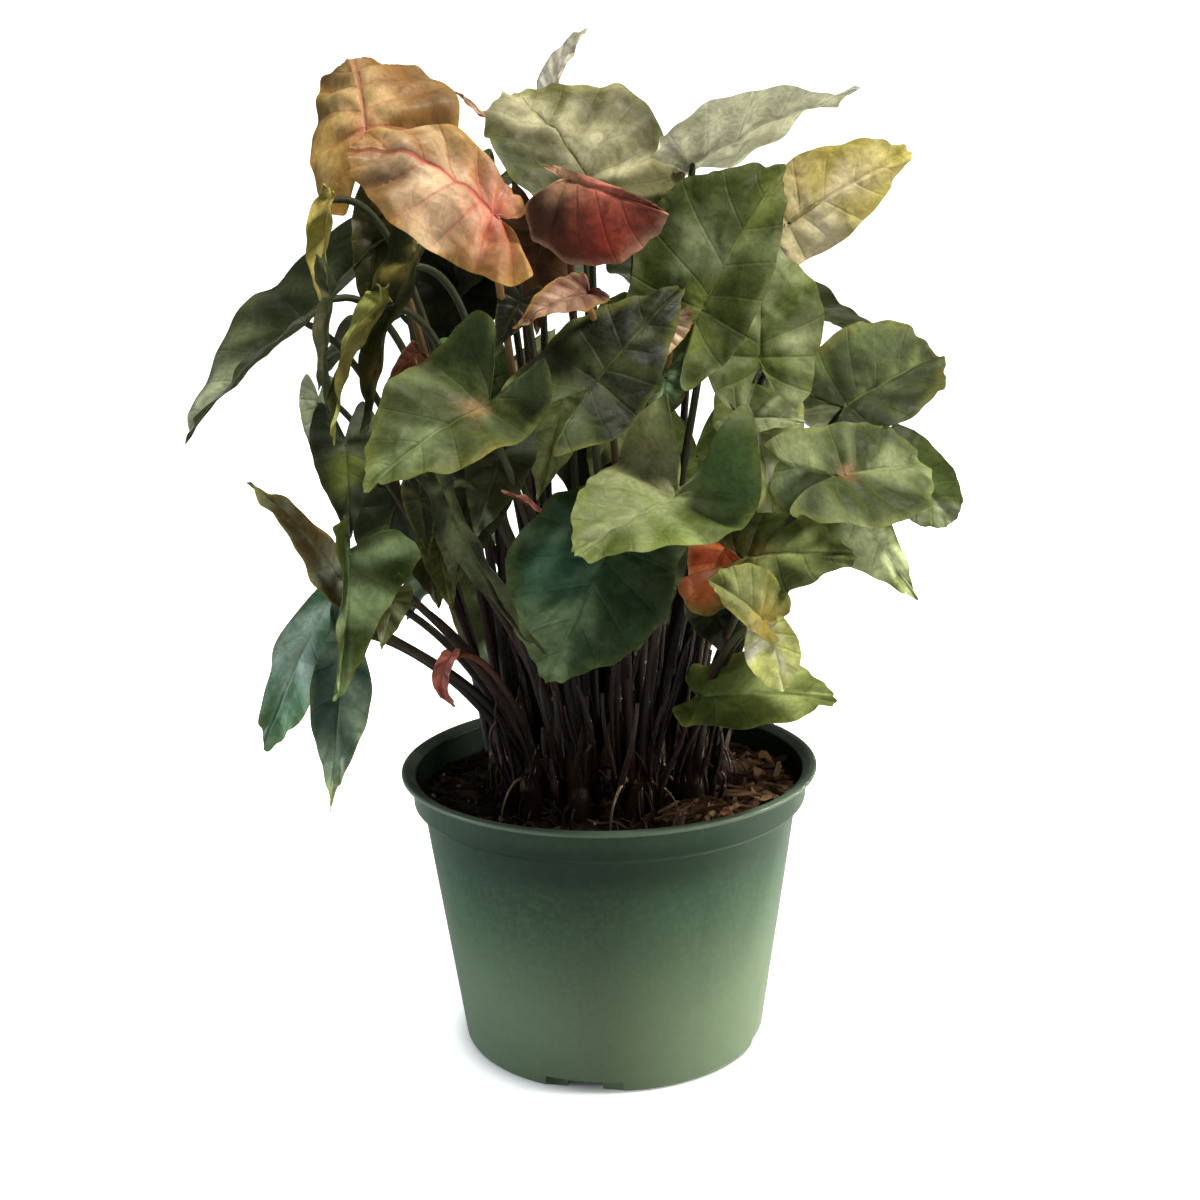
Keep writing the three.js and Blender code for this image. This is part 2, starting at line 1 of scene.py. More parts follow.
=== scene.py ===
import math
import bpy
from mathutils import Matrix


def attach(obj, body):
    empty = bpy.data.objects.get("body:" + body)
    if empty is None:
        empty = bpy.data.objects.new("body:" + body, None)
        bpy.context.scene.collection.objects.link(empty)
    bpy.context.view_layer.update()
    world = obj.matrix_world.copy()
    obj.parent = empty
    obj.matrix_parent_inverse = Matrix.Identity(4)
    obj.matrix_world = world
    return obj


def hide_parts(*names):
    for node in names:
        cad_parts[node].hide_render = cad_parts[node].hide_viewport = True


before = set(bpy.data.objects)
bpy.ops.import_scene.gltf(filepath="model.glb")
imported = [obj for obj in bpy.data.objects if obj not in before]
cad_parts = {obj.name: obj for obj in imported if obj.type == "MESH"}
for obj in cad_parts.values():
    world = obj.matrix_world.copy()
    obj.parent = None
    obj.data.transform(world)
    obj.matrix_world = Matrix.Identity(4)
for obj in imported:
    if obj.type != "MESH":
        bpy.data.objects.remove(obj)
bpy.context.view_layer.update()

from types import SimpleNamespace

import bpy
import numpy as np
from mathutils import Matrix, Vector

# An arrowhead plant in its nursery pot. Lengths are in millimetres up to add_piece(), which scales them.
# The pot, the soil and the leaves have the same measures as the CAD solids that they stand for.
MM = 0.001
rng = np.random.default_rng(7)

# Pot
POT_HEIGHT = 114
LIP_RADIUS = 82.5
LIP_WIDTH = 2.6
LIP_DEPTH = 2
COLLAR_RADIUS = 78
COLLAR_DEPTH = 14
STEP_HEIGHT = POT_HEIGHT - COLLAR_DEPTH
BODY_TOP_RADIUS = 74.4
BASE_RADIUS = 60.5
WALL = 1.2
FLOOR = 5.5
POT_SIDES = 192
NOTCH_ANGLES = [-102, -12, 78, 168]
NOTCH_WIDTH = 31
NOTCH_HEIGHT = 4.5
NOTCH_DEPTH = 3.5
NOTCH_DRAFT = 0.4
DRAIN_WIDTH = 14
DRAIN_REACH = 16
DRAIN_SLOT = 8

# Soil, and how many pieces of each kind lie on it
SOIL_GAP = 0.4
SOIL_LEVEL = 101
MOUND_RISE = 4
SOIL_SIDES = 300
SOIL_RINGS = 64
STEM_ROOM = 5.5
CRUMBS = 900
BARK_CHIPS = 170
PERLITE = 40
STRAWS = 180
DRY_CHIPS = 150
TUFT_STRAWS = 46
ROOTS = 70
HUSKS = 190

# Stalks
STEM_RADIUS = 4.2
STEM_FOOT = 96
STEM_TOP = 122
STALK_FOOT = 118
STALK_SPREAD = 3.6
STALK_BEND = 34
STALK_AHEAD = 1.8
SHEATHS = 7

# Blades. VEIN_LEAN is how far a side vein leans forwards, and VEIN_GAP how far apart two of them are.
BLADE_THICKNESS = 0.36
VEIN_LEAN = 0.75
VEIN_GAP = 0.5

# Camera, fitted to the photo: its place in metres, its angles in degrees and its lens in millimetres
CAMERA_PLACE = (-0.0022, -0.725, 0.358)
CAMERA_PITCH = 13.8
CAMERA_ROLL = 1.25
CAMERA_LENS = 57.1

# Half of an arrowhead leaf's outline, from the tip round the basal lobe to the sinus, as in the CAD source.
POINTED_HALF = np.array([
    (1, 0), (0.9, 0.11), (0.74, 0.34), (0.5, 0.64), (0.24, 0.89),
    (-0.02, 1), (-0.57, 0.93), (-1, 0.61), (-0.67, 0.27), (-0.13, 0),
])
ROUNDED_HALF = np.array([
    (1, 0), (0.965, 0.25), (0.86, 0.56), (0.64, 0.84), (0.34, 1),
    (-0.02, 1.03), (-0.57, 0.95), (-1, 0.61), (-0.67, 0.27), (-0.13, 0),
])
PLAIN_LEAF = dict(width=0.4, lobe=0.42, full=0, round=0, fold=10, curl=0, rear=15, arch=0.06, bend=0)

# How leaves are coloured. pale is the variegation and spread how much of the leaf it covers. line is the
# veins' colour and inked how strongly they show, rim the margin's colour and rimmed its strength, under the
# lower face's colour. puff is the height of the puckers between the veins, cloud how uneven the colour is.
SKIN_KEYS = ("slot", "base", "pale", "spread", "line", "inked", "rim", "rimmed", "under", "puff", "cloud")
SKINS = {
    "green": ("leaf_green", "3f4a24", "7c8452", 0.3, "747c48", 0.13, "7a7d38", 0.35, "5d6640", 0.55, 1),
    "dark": ("leaf_dark", "292e19", "535838", 0.25, "50573a", 0.13, "565a30", 0.3, "4a5138", 0.9, 1),
    "teal": ("leaf_dark", "1d3325", "3d5a42", 0.25, "42603f", 0.13, "5f6c34", 0.35, "4a5f48", 0.8, 1),
    "olive": ("leaf_green", "3e4220", "6a6d3c", 0.25, "5f6332", 0.14, "74722f", 0.35, "5c6138", 0.7, 1),
    "pale": ("leaf_pale", "545c2e", "a6a678", 0.45, "85885a", 0.15, "7c8240", 0.35, "747c52", 1.4, 1),
    "yellow": ("leaf_pale", "837e36", "bdb678", 0.45, "746c30", 0.2, "a39c48", 0.4, "8c8748", 1.2, 1),
    "peach": ("leaf_pink", "9c703c", "e2c29c", 0.55, "a8483c", 0.8, "8d6a26", 0.8, "94703e", 2.7, 1.5),
    "red": ("leaf_pink", "74321f", "a55c44", 0.35, "4a1c14", 0.5, "b58a66", 0.5, "64361f", 0.9, 1),
    "bronze": ("leaf_green", "544c28", "756a3e", 0.3, "6a6434", 0.4, "84883a", 0.6, "605a34", 0.9, 1),
}
# cover is how opaque the variegation is, and bleed how far the veins' colour spreads along the midrib. A dab
# is a soft spot: its place along and across the leaf, its size, its colour and its strength.
PLAIN_LOOK = dict(cover=0.8, bleed=0, dabs=())
STEMS = []


def stem(x, y):
    """Starts a leafy stem that stands at x, y. Its leaves follow."""
    STEMS.append(((x, y), []))


def leaf(start, tip, face, paint, **values):
    """Adds a leaf to the last stem, with the place and form that it has in the CAD source.

    start is the stalk's joint, tip the apex, and face the azimuth and elevation that the upper side faces.
    paint is its skin, with its own base and pale colours if it has them. The other values change its form or
    its look, and a pair stands for its left and right half."""
    skin, *own = paint.split()
    form, look = dict(PLAIN_LEAF), {**dict(zip(SKIN_KEYS, SKINS[skin])), **PLAIN_LOOK}
    look.update(zip(("base", "pale"), own))
    for key, value in values.items():
        (form if key in form else look)[key] = value
    STEMS[-1][1].append(dict(start=start, tip=tip, face=face, form=form, look=look, skin=skin))


stem(-44, 6)
leaf((-84, -8, 361), (-95, 42, 382), (-80, 60), "peach 74521f bca26c", width=(0.42, 0.63), lobe=0.5,
     round=(0.1, 0.85), fold=(-18, 6), curl=(-25, -20), rear=-35, arch=0.2, line="9c5040", inked=0.5,
     bleed=0.25, dabs=[(0.6, -0.2, 0.4, "5e4218", 0.7), (0, 0.4, 0.3, "c0a460", 0.6),
     (0, 0, 0.1, "a85848", 0.5)])
# Painted highlight: the pale spot near this leaf's tip.
leaf((-110, -5, 292), (-158, -15, 248), (-115, 40), "dark 404a28 a4ac7c", width=(0.28, 0.46),
     lobe=(0.7, 0.8), fold=(50, -5), rear=0, cloud=0.6, dabs=[(0.8, 0, 0.3, "b4bea4", 0.7),
     (0, 0, 0.45, "222c16", 0.6)])
leaf((-80, 10, 223), (-92, 2, 181), (-100, 15), "dark 1c220e 565e36")
leaf((-81, -8, 327), (-87, -16, 289), (-80, 10), "dark 2c2c10 806438", width=0.26)

stem(-38, -10)
leaf((-95, -46, 304), (-95, -52, 254), (-150, 8), "dark 363c1e 949064", width=(0.22, 0.13), lobe=0.3,
     fold=20)
leaf((-75, -50, 302), (-94, -62, 253), (-150, 12), "yellow 28300e e0e880", width=0.2, lobe=0.1, full=0.4,
     fold=(40, 10), bend=-0.06, spread=0.4, cover=1)
leaf((-66, -42, 315), (-84, -55, 254), (-150, 5), "dark 24280e 786c34", width=0.25)
leaf((-95, -28, 249), (-94, -35, 214), (-90, 20), "dark 1a2210 828a70", width=0.36,
     dabs=[(0.3, 0, 0.2, "84903c", 0.7)])
leaf((-105, -22, 264), (-107, -23, 241), (-90, 10), "dark 8c9878 d8dcc8", width=0.3)
leaf((-64, -50, 284), (-76, -52, 274), (-90, 20), "red 4c2408 94603a", width=0.3, lobe=0.1)
leaf((-95, -32, 338), (-98, -36, 293), (-150, 5), "yellow 6c641e fce07c", width=(0.11, 0.14), lobe=0.1,
     full=1.5, spread=0.5, cover=1)
leaf((-50, -20, 262), (-64, -34, 214), (-110, 20), "dark 30401a 80b868")

stem(-30, -28)
leaf((-97, -45, 201), (-128, -50, 239), (-85, 70), "bronze 6a5a38 a4b098", width=(0.38, 0.18), round=0.3,
     rear=0, rim="b8ae58")
leaf((-92, -55, 213), (-97, -75, 163), (-60, 20), "green 34421c b8d49a", width=0.5, lobe=0.2, full=-0.35,
     fold=(0, 60), dabs=[(0, 0.1, 0.2, "2a3818", 0.5)])
leaf((-102, -26, 192), (-131, -34, 132), (-115, 10), "teal 4c6e50 b8d0c4", width=(0.13, 0.09), lobe=0.2,
     full=0.9, round=1)
leaf((-97, -45, 178), (-105, -50, 113), (-80, 8), "teal 22382e 8ea68c", width=0.1, lobe=0.25, full=1.3,
     dabs=[(1, 0, 0.12, "b0a848", 0.8)])
leaf((-78, -45, 193), (-83, -50, 175), (-90, 20), "olive 4c5024 d0d4a0", width=0.35)
leaf((-57, -50, 173), (-56, -55, 154), (-125, 20), "red 7c3424 bc7464", width=0.22, lobe=0.1, round=0.8,
     bend=-0.25)

stem(-12, -36)
# Painted shade: the dark spot on one basal lobe of this leaf.
leaf((-40, -85, 269), (-78, -118, 247), (-100, 40), "green 363f1a 829464", width=(0.39, 0.48), lobe=0.52,
     full=0.1, round=0.3, fold=(5, 10), rear=60, cloud=0.7, dabs=[(0.06, 0, 0.08, "a8805c", 0.6),
     (-0.35, 0.3, 0.25, "1c220e", 0.8), (-0.4, -0.25, 0.3, "2a3e24", 0.6), (0.3, 0.42, 0.1, "a89a48", 0.8)])
leaf((-56, -78, 240), (-21, -100, 185), (-165, 35), "dark 1c200e 687048", width=0.11, full=0.3)
leaf((-60, -50, 214), (-56, -55, 190), (-90, 20), "olive 303414 70743d", width=0.3)
leaf((-66, -55, 232), (-63, -58, 212), (-90, 20), "olive 1c200c 70783e", width=0.3)
leaf((-36, -60, 248), (-46, -65, 219), (-90, 20), "dark 2c3014 8c987c")
leaf((-47, -50, 238), (-55, -58, 199), (-90, 12), "dark 161a08 50563a")
leaf((-21, -60, 226), (-36, -75, 238), (-90, 60), "red 7a3030 b87870", width=0.15)
leaf((-13, -50, 268), (-24, -58, 231), (-90, 10), "dark 7c8850 dce4a0", width=0.32)

stem(-22, -8)
leaf((-35, -72, 332), (-82, -82, 354), (-88, 35), "peach 7c5628 c6b08c", width=(0.41, 0.25),
     lobe=(0.36, 0.2), full=(0.27, 0.4), round=1, fold=-3, curl=-12, rear=0, arch=0.08, bend=-0.1,
     spread=0.45, line="a8443a", inked=0.75, bleed=0.55, dabs=[(0, 0, 0.2, "cc7064", 0.5),
     (0.5, -0.25, 0.3, "90763f", 0.6), (0.4, 0.2, 0.25, "dcbc9c", 0.5), (0.95, 0, 0.25, "7c5a24", 0.6),
     (-0.3, 0, 0.2, "8c7030", 0.5)])
leaf((-28, -50, 301), (-37, -55, 285), (-90, 20), "dark 100f06 20200c")
leaf((-22, 12, 322), (-24, -2, 284), (-90, 15), "dark 5c3c28 8c6448", width=0.38)

stem(-4, 4)
# Painted shade: the two dark spots on this leaf's turned-away half; painted highlight: its pale spot.
leaf((-3, 4, 341), (-32, 40, 373), (-75, 38), "pale 4a4824 a8a480", width=(0.48, 0.6), lobe=0.5, full=0.1,
     round=1, rear=0, puff=2.3, cloud=1.5, line="7a5a3c", dabs=[(0.2, 0.45, 0.35, "323c1c", 0.8),
     (-0.25, 0.4, 0.3, "363f24", 0.7), (0.3, -0.2, 0.25, "b0ac88", 0.5)])
leaf((-17, 52, 370), (-2, 48, 398), (-165, -20), "pale fff4d8 fffae8", bend=0.1, spread=0.6, cloud=0.3,
     inked=0.04, under="f8f4e0")
leaf((34, -5, 346), (95, -20, 372), (90, 68), "pale 7c8058 f8f6ee", width=0.28, lobe=0.15, full=0.8,
     arch=0.03, spread=0.6, cover=0.9, under="ccccb0")
leaf((-11, -30, 342), (25, -44, 329), (-90, 12), "red 4c2410 9c5c44", width=(0.08, 0.6), lobe=0.28,
     full=(0, 0.15), round=1, fold=0, curl=(0, -20), rear=0, line="38140c", inked=0.35, rim="e0b090",
     dabs=[(0.55, -0.3, 0.35, "98382c", 0.7), (-0.15, -0.3, 0.35, "402414", 0.8),
     (0.4, 0.05, 0.2, "c8705c", 0.6), (-0.05, 0, 0.15, "e0b088", 0.9)])
leaf((-2, -4, 246), (2, -30, 203), (-90, 25), "dark 1a2008 3c4422")
leaf((15, 0, 274), (-5, -20, 231), (-90, 15), "dark 3c4a1a d0e090", width=0.45)

stem(10, -34)
leaf((-2, -68, 274), (31, -44, 305), (-95, 38), "green 10160a 3c4222", width=(0.46, 0.37), lobe=0.72,
     full=0.05, fold=(0, -15), rear=25, spread=0.2, cloud=0.6, dabs=[(-0.35, 0.3, 0.3, "4c5630", 0.8),
     (-0.5, -0.2, 0.25, "3c4624", 0.6)])
leaf((24, -85, 236), (-10, -124, 224), (-72, 66), "pale 505e26 868e62", width=(0.55, 0.5), lobe=(0.9, 0.7),
     round=0.4, fold=3, rear=86, dabs=[(-0.2, -0.25, 0.3, "a09878", 0.6), (-0.4, 0.3, 0.35, "3a5a34", 0.8)])
leaf((2, -80, 219), (-21, -98, 175), (-95, 20), "teal 2c3a1e 7c9268", width=(0.46, 0.51), lobe=(0.42, 0.29),
     full=0.25, round=0.6, curl=-12, rear=0, cloud=0.7, dabs=[(0.2, 0.3, 0.35, "1c260e", 0.6),
     (0.3, -0.25, 0.35, "346050", 0.5)])
leaf((16, -60, 209), (10, -65, 175), (-90, 10), "dark", width=0.38)
leaf((23, -48, 274), (19, -54, 255), (-90, 20), "teal 40542c c0dcb0")
leaf((-4, -60, 304), (-30, -75, 294), (-90, 58), "peach 341a10 a08064", width=0.36, lobe=0.12, spread=0.4,
     line="6c3424", inked=0.4, dabs=[(0, 0, 0.35, "542414", 0.7)])

stem(32, -28)
leaf((50, -64, 210), (86, -92, 215), (-90, 45), "dark 2a320e 8c985a", width=(0.42, 0.61), round=0.3, fold=5,
     dabs=[(-0.35, -0.3, 0.3, "80381a", 0.8)])
leaf((54, -97, 195), (34, -109, 213), (-80, 30), "yellow 424c14 8c925a", width=(0.21, 0.42), lobe=0.25,
     full=0.2, round=0.9, dabs=[(0, 0, 0.3, "987a28", 0.5)])
leaf((55, -94, 193), (60, -100, 171), (-90, 15), "yellow c0c474 fffff0", width=(0.27, 0.31), lobe=0.1,
     full=0.5, round=1)
leaf((45, -40, 209), (34, -47, 191), (-90, 20), "red 983c16 d88048", width=0.62, lobe=0.35, round=0.5)
leaf((34, -55, 156), (81, -80, 161), (-90, 48), "green 505a24 b4c074", width=(0.25, 0.26), lobe=0.15,
     full=0.4, round=0.7, cloud=0.6, dabs=[(0, 0, 0.25, "2e3a14", 0.6)])
leaf((40, -38, 185), (50, -44, 164), (-90, 20), "dark 12180a 303a20", width=0.45)

stem(18, -12)
# Painted highlights: this leaf's two pale spots.
leaf((36, -44, 295), (67, -28, 345), (-110, 28), "green 2e380f 687234", width=(0.46, 0.29), lobe=0.5,
     full=(0.35, 0.1), round=(0.8, 0.4), fold=(5, -25), rear=25, spread=0.22, cloud=0.7, inked=0.08,
     rim="7c8250", dabs=[(0.5, -0.25, 0.12, "7a8458", 0.5), (0.35, 0.2, 0.16, "8c9670", 0.6)])
leaf((59, -18, 275), (60, 2, 319), (-85, 28), "pale 4a5626 a0a87c", width=0.42, lobe=0.4, full=0.25,
     round=0.7, rear=0)
leaf((71, 5, 323), (119, 10, 348), (-100, 25), "yellow 968a40 cabd98", width=(0.33, 0.29), full=0.2,
     round=(0.8, 0.3), fold=(0, -25), rear=-10, puff=0.8, cloud=0.5, line="8c8244", inked=0.02,
     dabs=[(0.9, 0, 0.25, "b0a440", 0.7), (0.1, 0.3, 0.35, "8c7c3c", 0.5), (0.1, -0.3, 0.3, "d8d0b4", 0.6)])
leaf((51, -50, 258), (72, -60, 257), (-90, 45), "pale 465028 a4ac80", width=(0.59, 0.45))
leaf((36, -4, 238), (38, -26, 194), (-80, 25), "dark 8a9c54 b8c880")
leaf((25, -48, 292), (19, -55, 277), (-90, 20), "peach 4a3c18 c8b490")
leaf((59, -10, 251), (64, -25, 208), (-85, 15), "dark 98a060 fffee0", width=0.38)

stem(42, -8)
# Painted highlight: this leaf's pale spot.
leaf((93, -4, 255), (134, 28, 269), (-88, 34), "olive 1e270c 66743c", width=(0.44, 0.33), lobe=0.25,
     full=0.1, round=1, curl=15, rear=0, spread=0.2, cloud=0.6, inked=0.1,
     dabs=[(0.55, 0.3, 0.3, "5c6a40", 0.5)])
leaf((88, -36, 234), (124, -5, 230), (-85, 34), "pale 2c3810 788258", width=(0.4, 0.5), lobe=0.8, round=0.9,
     rear=5, dabs=[(0.02, 0, 0.07, "8a5a40", 0.5)])
leaf((86, -28, 232), (115, -46, 188), (-115, 35), "pale 687432 c8d4a4", width=(0.23, 0.42), lobe=0.3,
     fold=(-20, 0), rear=0, dabs=[(-0.1, -0.3, 0.3, "2c4030", 0.7)])
leaf((117, 0, 229), (135, -5, 209), (-85, 20), "dark 4a5826 9ca488", width=(0.49, 0.54), lobe=0.6, round=1,
     rear=0, cloud=0.6)

stem(-24, 26)
leaf((-45, 42, 338), (-82, 78, 320), (130, 55), "green")
leaf((-78, 40, 290), (-118, 62, 258), (150, 40), "dark 12160c 2c3020")
leaf((-72, 55, 235), (-112, 88, 205), (140, 45), "green")
leaf((-40, 85, 262), (-62, 128, 232), (115, 45), "pale 7c8848 d8d8a8")
leaf((-60, 62, 185), (-88, 92, 150), (135, 40), "teal 0f1c09 30442a")
leaf((-48, 36, 318), (-70, 60, 286), (-120, 35), "dark", width=0.5)
leaf((-30, 52, 360), (-56, 45, 374), (-90, 60), "peach b08c68 e4ccb0", width=0.14, arch=-0.05)
leaf((-56, 30, 299), (-67, 15, 258), (-95, 15), "dark 101206 3c4022", width=0.45)
leaf((-47, 34, 173), (-44, 24, 131), (-95, 10), "dark 4c582c dcecb8")
leaf((-73, 42, 205), (-68, 30, 170), (-85, 12), "dark 24240c 7c7a44", width=0.42)
leaf((-24, 48, 173), (-27, 36, 125), (-95, 10), "dark 0a0e06 303a20")

stem(2, 34)
leaf((16, 60, 338), (20, 108, 320), (95, 60), "pale")
leaf((-14, 82, 305), (-24, 130, 282), (100, 50), "green")
leaf((26, 78, 298), (40, 125, 272), (75, 50), "green")
leaf((2, 90, 240), (4, 135, 208), (90, 45), "dark")
leaf((-8, 72, 190), (-12, 108, 152), (95, 35), "teal")
leaf((3, 58, 148), (3, 48, 109), (-88, 10), "dark 1c2410 425030")

stem(28, 24)
leaf((48, 40, 330), (84, 74, 312), (45, 55), "green")
leaf((82, 38, 288), (122, 60, 260), (30, 45), "green")
leaf((80, 62, 244), (116, 92, 216), (50, 45), "pale 78844c d8d8b0")
leaf((88, 42, 215), (122, 66, 182), (35, 40), "dark")
leaf((46, 70, 190), (66, 100, 155), (60, 40), "teal")
leaf((60, 70, 262), (72, 108, 232), (70, 45), "dark")
leaf((27, 34, 171), (28, 22, 127), (-85, 10), "dark 1c1c0a 444624", width=0.38)
leaf((54, 40, 223), (57, 28, 188), (-85, 10), "dark")


# ---------------------------------------------------------------- small tools

def rgb(code):
    """An sRGB colour such as "8a9c74" as linear red, green and blue."""
    c = np.array([int(code[i:i + 2], 16) / 255 for i in (0, 2, 4)])
    return np.where(c <= 0.04045, c / 12.92, ((c + 0.055) / 1.055) ** 2.4)


def mix(a, b, share):
    share = np.clip(np.asarray(share, float), 0, 1)[..., None]
    return a * (1 - share) + b * share


def with_alpha(colour, alpha):
    """A colour, or one for each point, with an alpha for each point."""
    return np.column_stack([np.broadcast_to(colour, (len(alpha), 3)), alpha])


def opaque(colour, count):
    return with_alpha(colour, np.ones(count)).clip(0, 1)


def pair(value):
    return value if isinstance(value, tuple) else (value, value)


def unit(v):
    return v / np.linalg.norm(v)


def smooth(x, low, high):
    t = np.clip((x - low) / (high - low), 0, 1)
    return t * t * (3 - 2 * t)


def lumps(points, size, seed, waves=7):
    """Smooth irregular values from about -1 to 1 at points, with bumps of about the given size."""
    r = np.random.default_rng(seed)
    total = np.zeros(len(points))
    for _ in range(waves):
        turn = r.normal(size=points.shape[1])
        turn *= r.uniform(0.6, 1.5) * math.pi / size / np.linalg.norm(turn)
        total += np.sin(points @ turn + r.uniform(0, 6.28))
    return total / math.sqrt(waves) / 1.1


def placed(name, data):
    """A new object in the scene."""
    made = bpy.data.objects.new(name, data)
    bpy.context.scene.collection.objects.link(made)
    return made


def new_mesh(name, points, faces):
    """A mesh from points and a list of arrays of faces."""
    mesh = bpy.data.meshes.new(name)
    mesh.from_pydata(points, [], [corners for part in faces for corners in part.tolist()])
    return mesh


def add_object(name, mesh, material, replaced, crease):
    """Shows a mesh as a piece that rides on the body and stands for the replaced nodes."""
    mesh.polygons.foreach_set("use_smooth", np.ones(len(mesh.polygons), bool))
    mesh.set_sharp_from_angle(angle=math.radians(crease))
    mesh.materials.append(material)
    piece = placed(name, mesh)
    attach(piece, "root")
    if replaced:
        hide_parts(*replaced)


class Body:
    """Closed bodies gathered into one mesh, with values at their points."""

    def __init__(self):
        self.points, self.faces, self.values, self.count = [], [], {}, 0

    def add(self, points, faces, values):
        self.faces += [f + self.count for f in faces]
        self.points.append(points)
        for key, value in values.items():
            self.values.setdefault(key, []).append(value)
        self.count += len(points)


def add_piece(name, body, material, replaced=(), crease=50):
    """Turns a Body into a mesh in metres and shows it as a piece."""
    mesh = new_mesh(name, np.concatenate(body.points) * MM, body.faces)
    for key, parts in body.values.items():
        value = np.concatenate(parts).astype(np.float32)
        kind, field = ("FLOAT_COLOR", "color") if value.shape[1] == 4 else ("FLOAT_VECTOR", "vector")
        mesh.attributes.new(key, kind, "POINT").data.foreach_set(field, value.ravel())
    add_object(name, mesh, material, replaced, crease)


def circle(sides):
    """The angles of points spread evenly round a circle."""
    return np.arange(sides) * 2 * math.pi / sides


def level_ring(radius, height, sides):
    turn = circle(sides)
    return np.column_stack([radius * np.cos(turn), radius * np.sin(turn), np.full(sides, height)])


def ring_faces(inner, outer, count):
    """Quads between two rings of points that start at the given indices."""
    i = np.arange(count)
    j = (i + 1) % count
    return np.stack([inner + i, outer + i, outer + j, inner + j], 1)


def closed_rings(rings, first, last):
    """A closed body through rings of points, shaped (rows, sides, 3), with a point at each end."""
    rows, sides = rings.shape[:2]
    i = np.arange(sides)
    j = (i + 1) % sides
    end = (rows - 1) * sides
    faces = [ring_faces(k * sides, (k + 1) * sides, sides)[:, ::-1] for k in range(rows - 1)]
    faces.append(np.stack([np.full(sides, rows * sides), j, i], 1))
    faces.append(np.stack([np.full(sides, rows * sides + 1), end + i, end + j], 1))
    return np.vstack([rings.reshape(-1, 3), first, last]), faces


def turned(profile, sides):
    """A closed body of revolution from a profile whose first and last points are on the axis."""
    rings = np.array([level_ring(radius, height, sides) for radius, height in profile[1:-1]])
    return closed_rings(rings, (0, 0, profile[0][1]), (0, 0, profile[-1][1]))


def normals_of(points, faces):
    n = np.zeros_like(points)
    for f in faces:
        a, b, c = points[f[:, 0]], points[f[:, 1]], points[f[:, 2]]
        across = np.cross(b - a, c - a)
        if f.shape[1] == 4:
            across = across + np.cross(c - a, points[f[:, 3]] - a)
        for k in range(f.shape[1]):
            np.add.at(n, f[:, k], across)
    return n / np.linalg.norm(n, axis=1)[:, None]


def bezier(a, b, c, d, steps):
    t = np.linspace(0, 1, steps)[:, None]
    return (1 - t) ** 3 * a + 3 * (1 - t) ** 2 * t * b + 3 * (1 - t) * t ** 2 * c + t ** 3 * d


def cross_axes(line):
    """Two cross axes at each point of a line, each turned as little as can be."""
    tangent = np.gradient(line, axis=0)
    tangent /= np.linalg.norm(tangent, axis=1)[:, None]
    across = np.zeros_like(line)
    last = np.cross(tangent[0], (0.3, 0.9, 0.1))
    for i, t in enumerate(tangent):
        last = unit(last - t * (last @ t))
        across[i] = last
    return across, np.cross(tangent, across)


def tube(line, radius, sides, wrap, flat=1.0):
    """A closed tube along a line, how far along it each of its points is, and their places in its texture.

    radius is one number or one for each point of the line, and flat squashes the section. wrap is the
    texture's radius, its length and where it begins."""
    a, b = cross_axes(line)
    turn = circle(sides)
    ring = np.cos(turn)[:, None, None] * a + flat * np.sin(turn)[:, None, None] * b
    rings = (line + np.broadcast_to(radius, len(line))[:, None] * ring).transpose(1, 0, 2)
    along = np.concatenate([np.repeat(np.linspace(0, 1, len(line)), sides), [0, 1]])
    around = np.concatenate([np.tile(turn, len(line)), [0, 0]])
    width, length, begin = wrap
    place = np.column_stack([np.cos(around) * width, np.sin(around) * width, along * length + begin])
    return *closed_rings(rings, line[0], line[-1]), along, place


# ---------------------------------------------------------------- materials

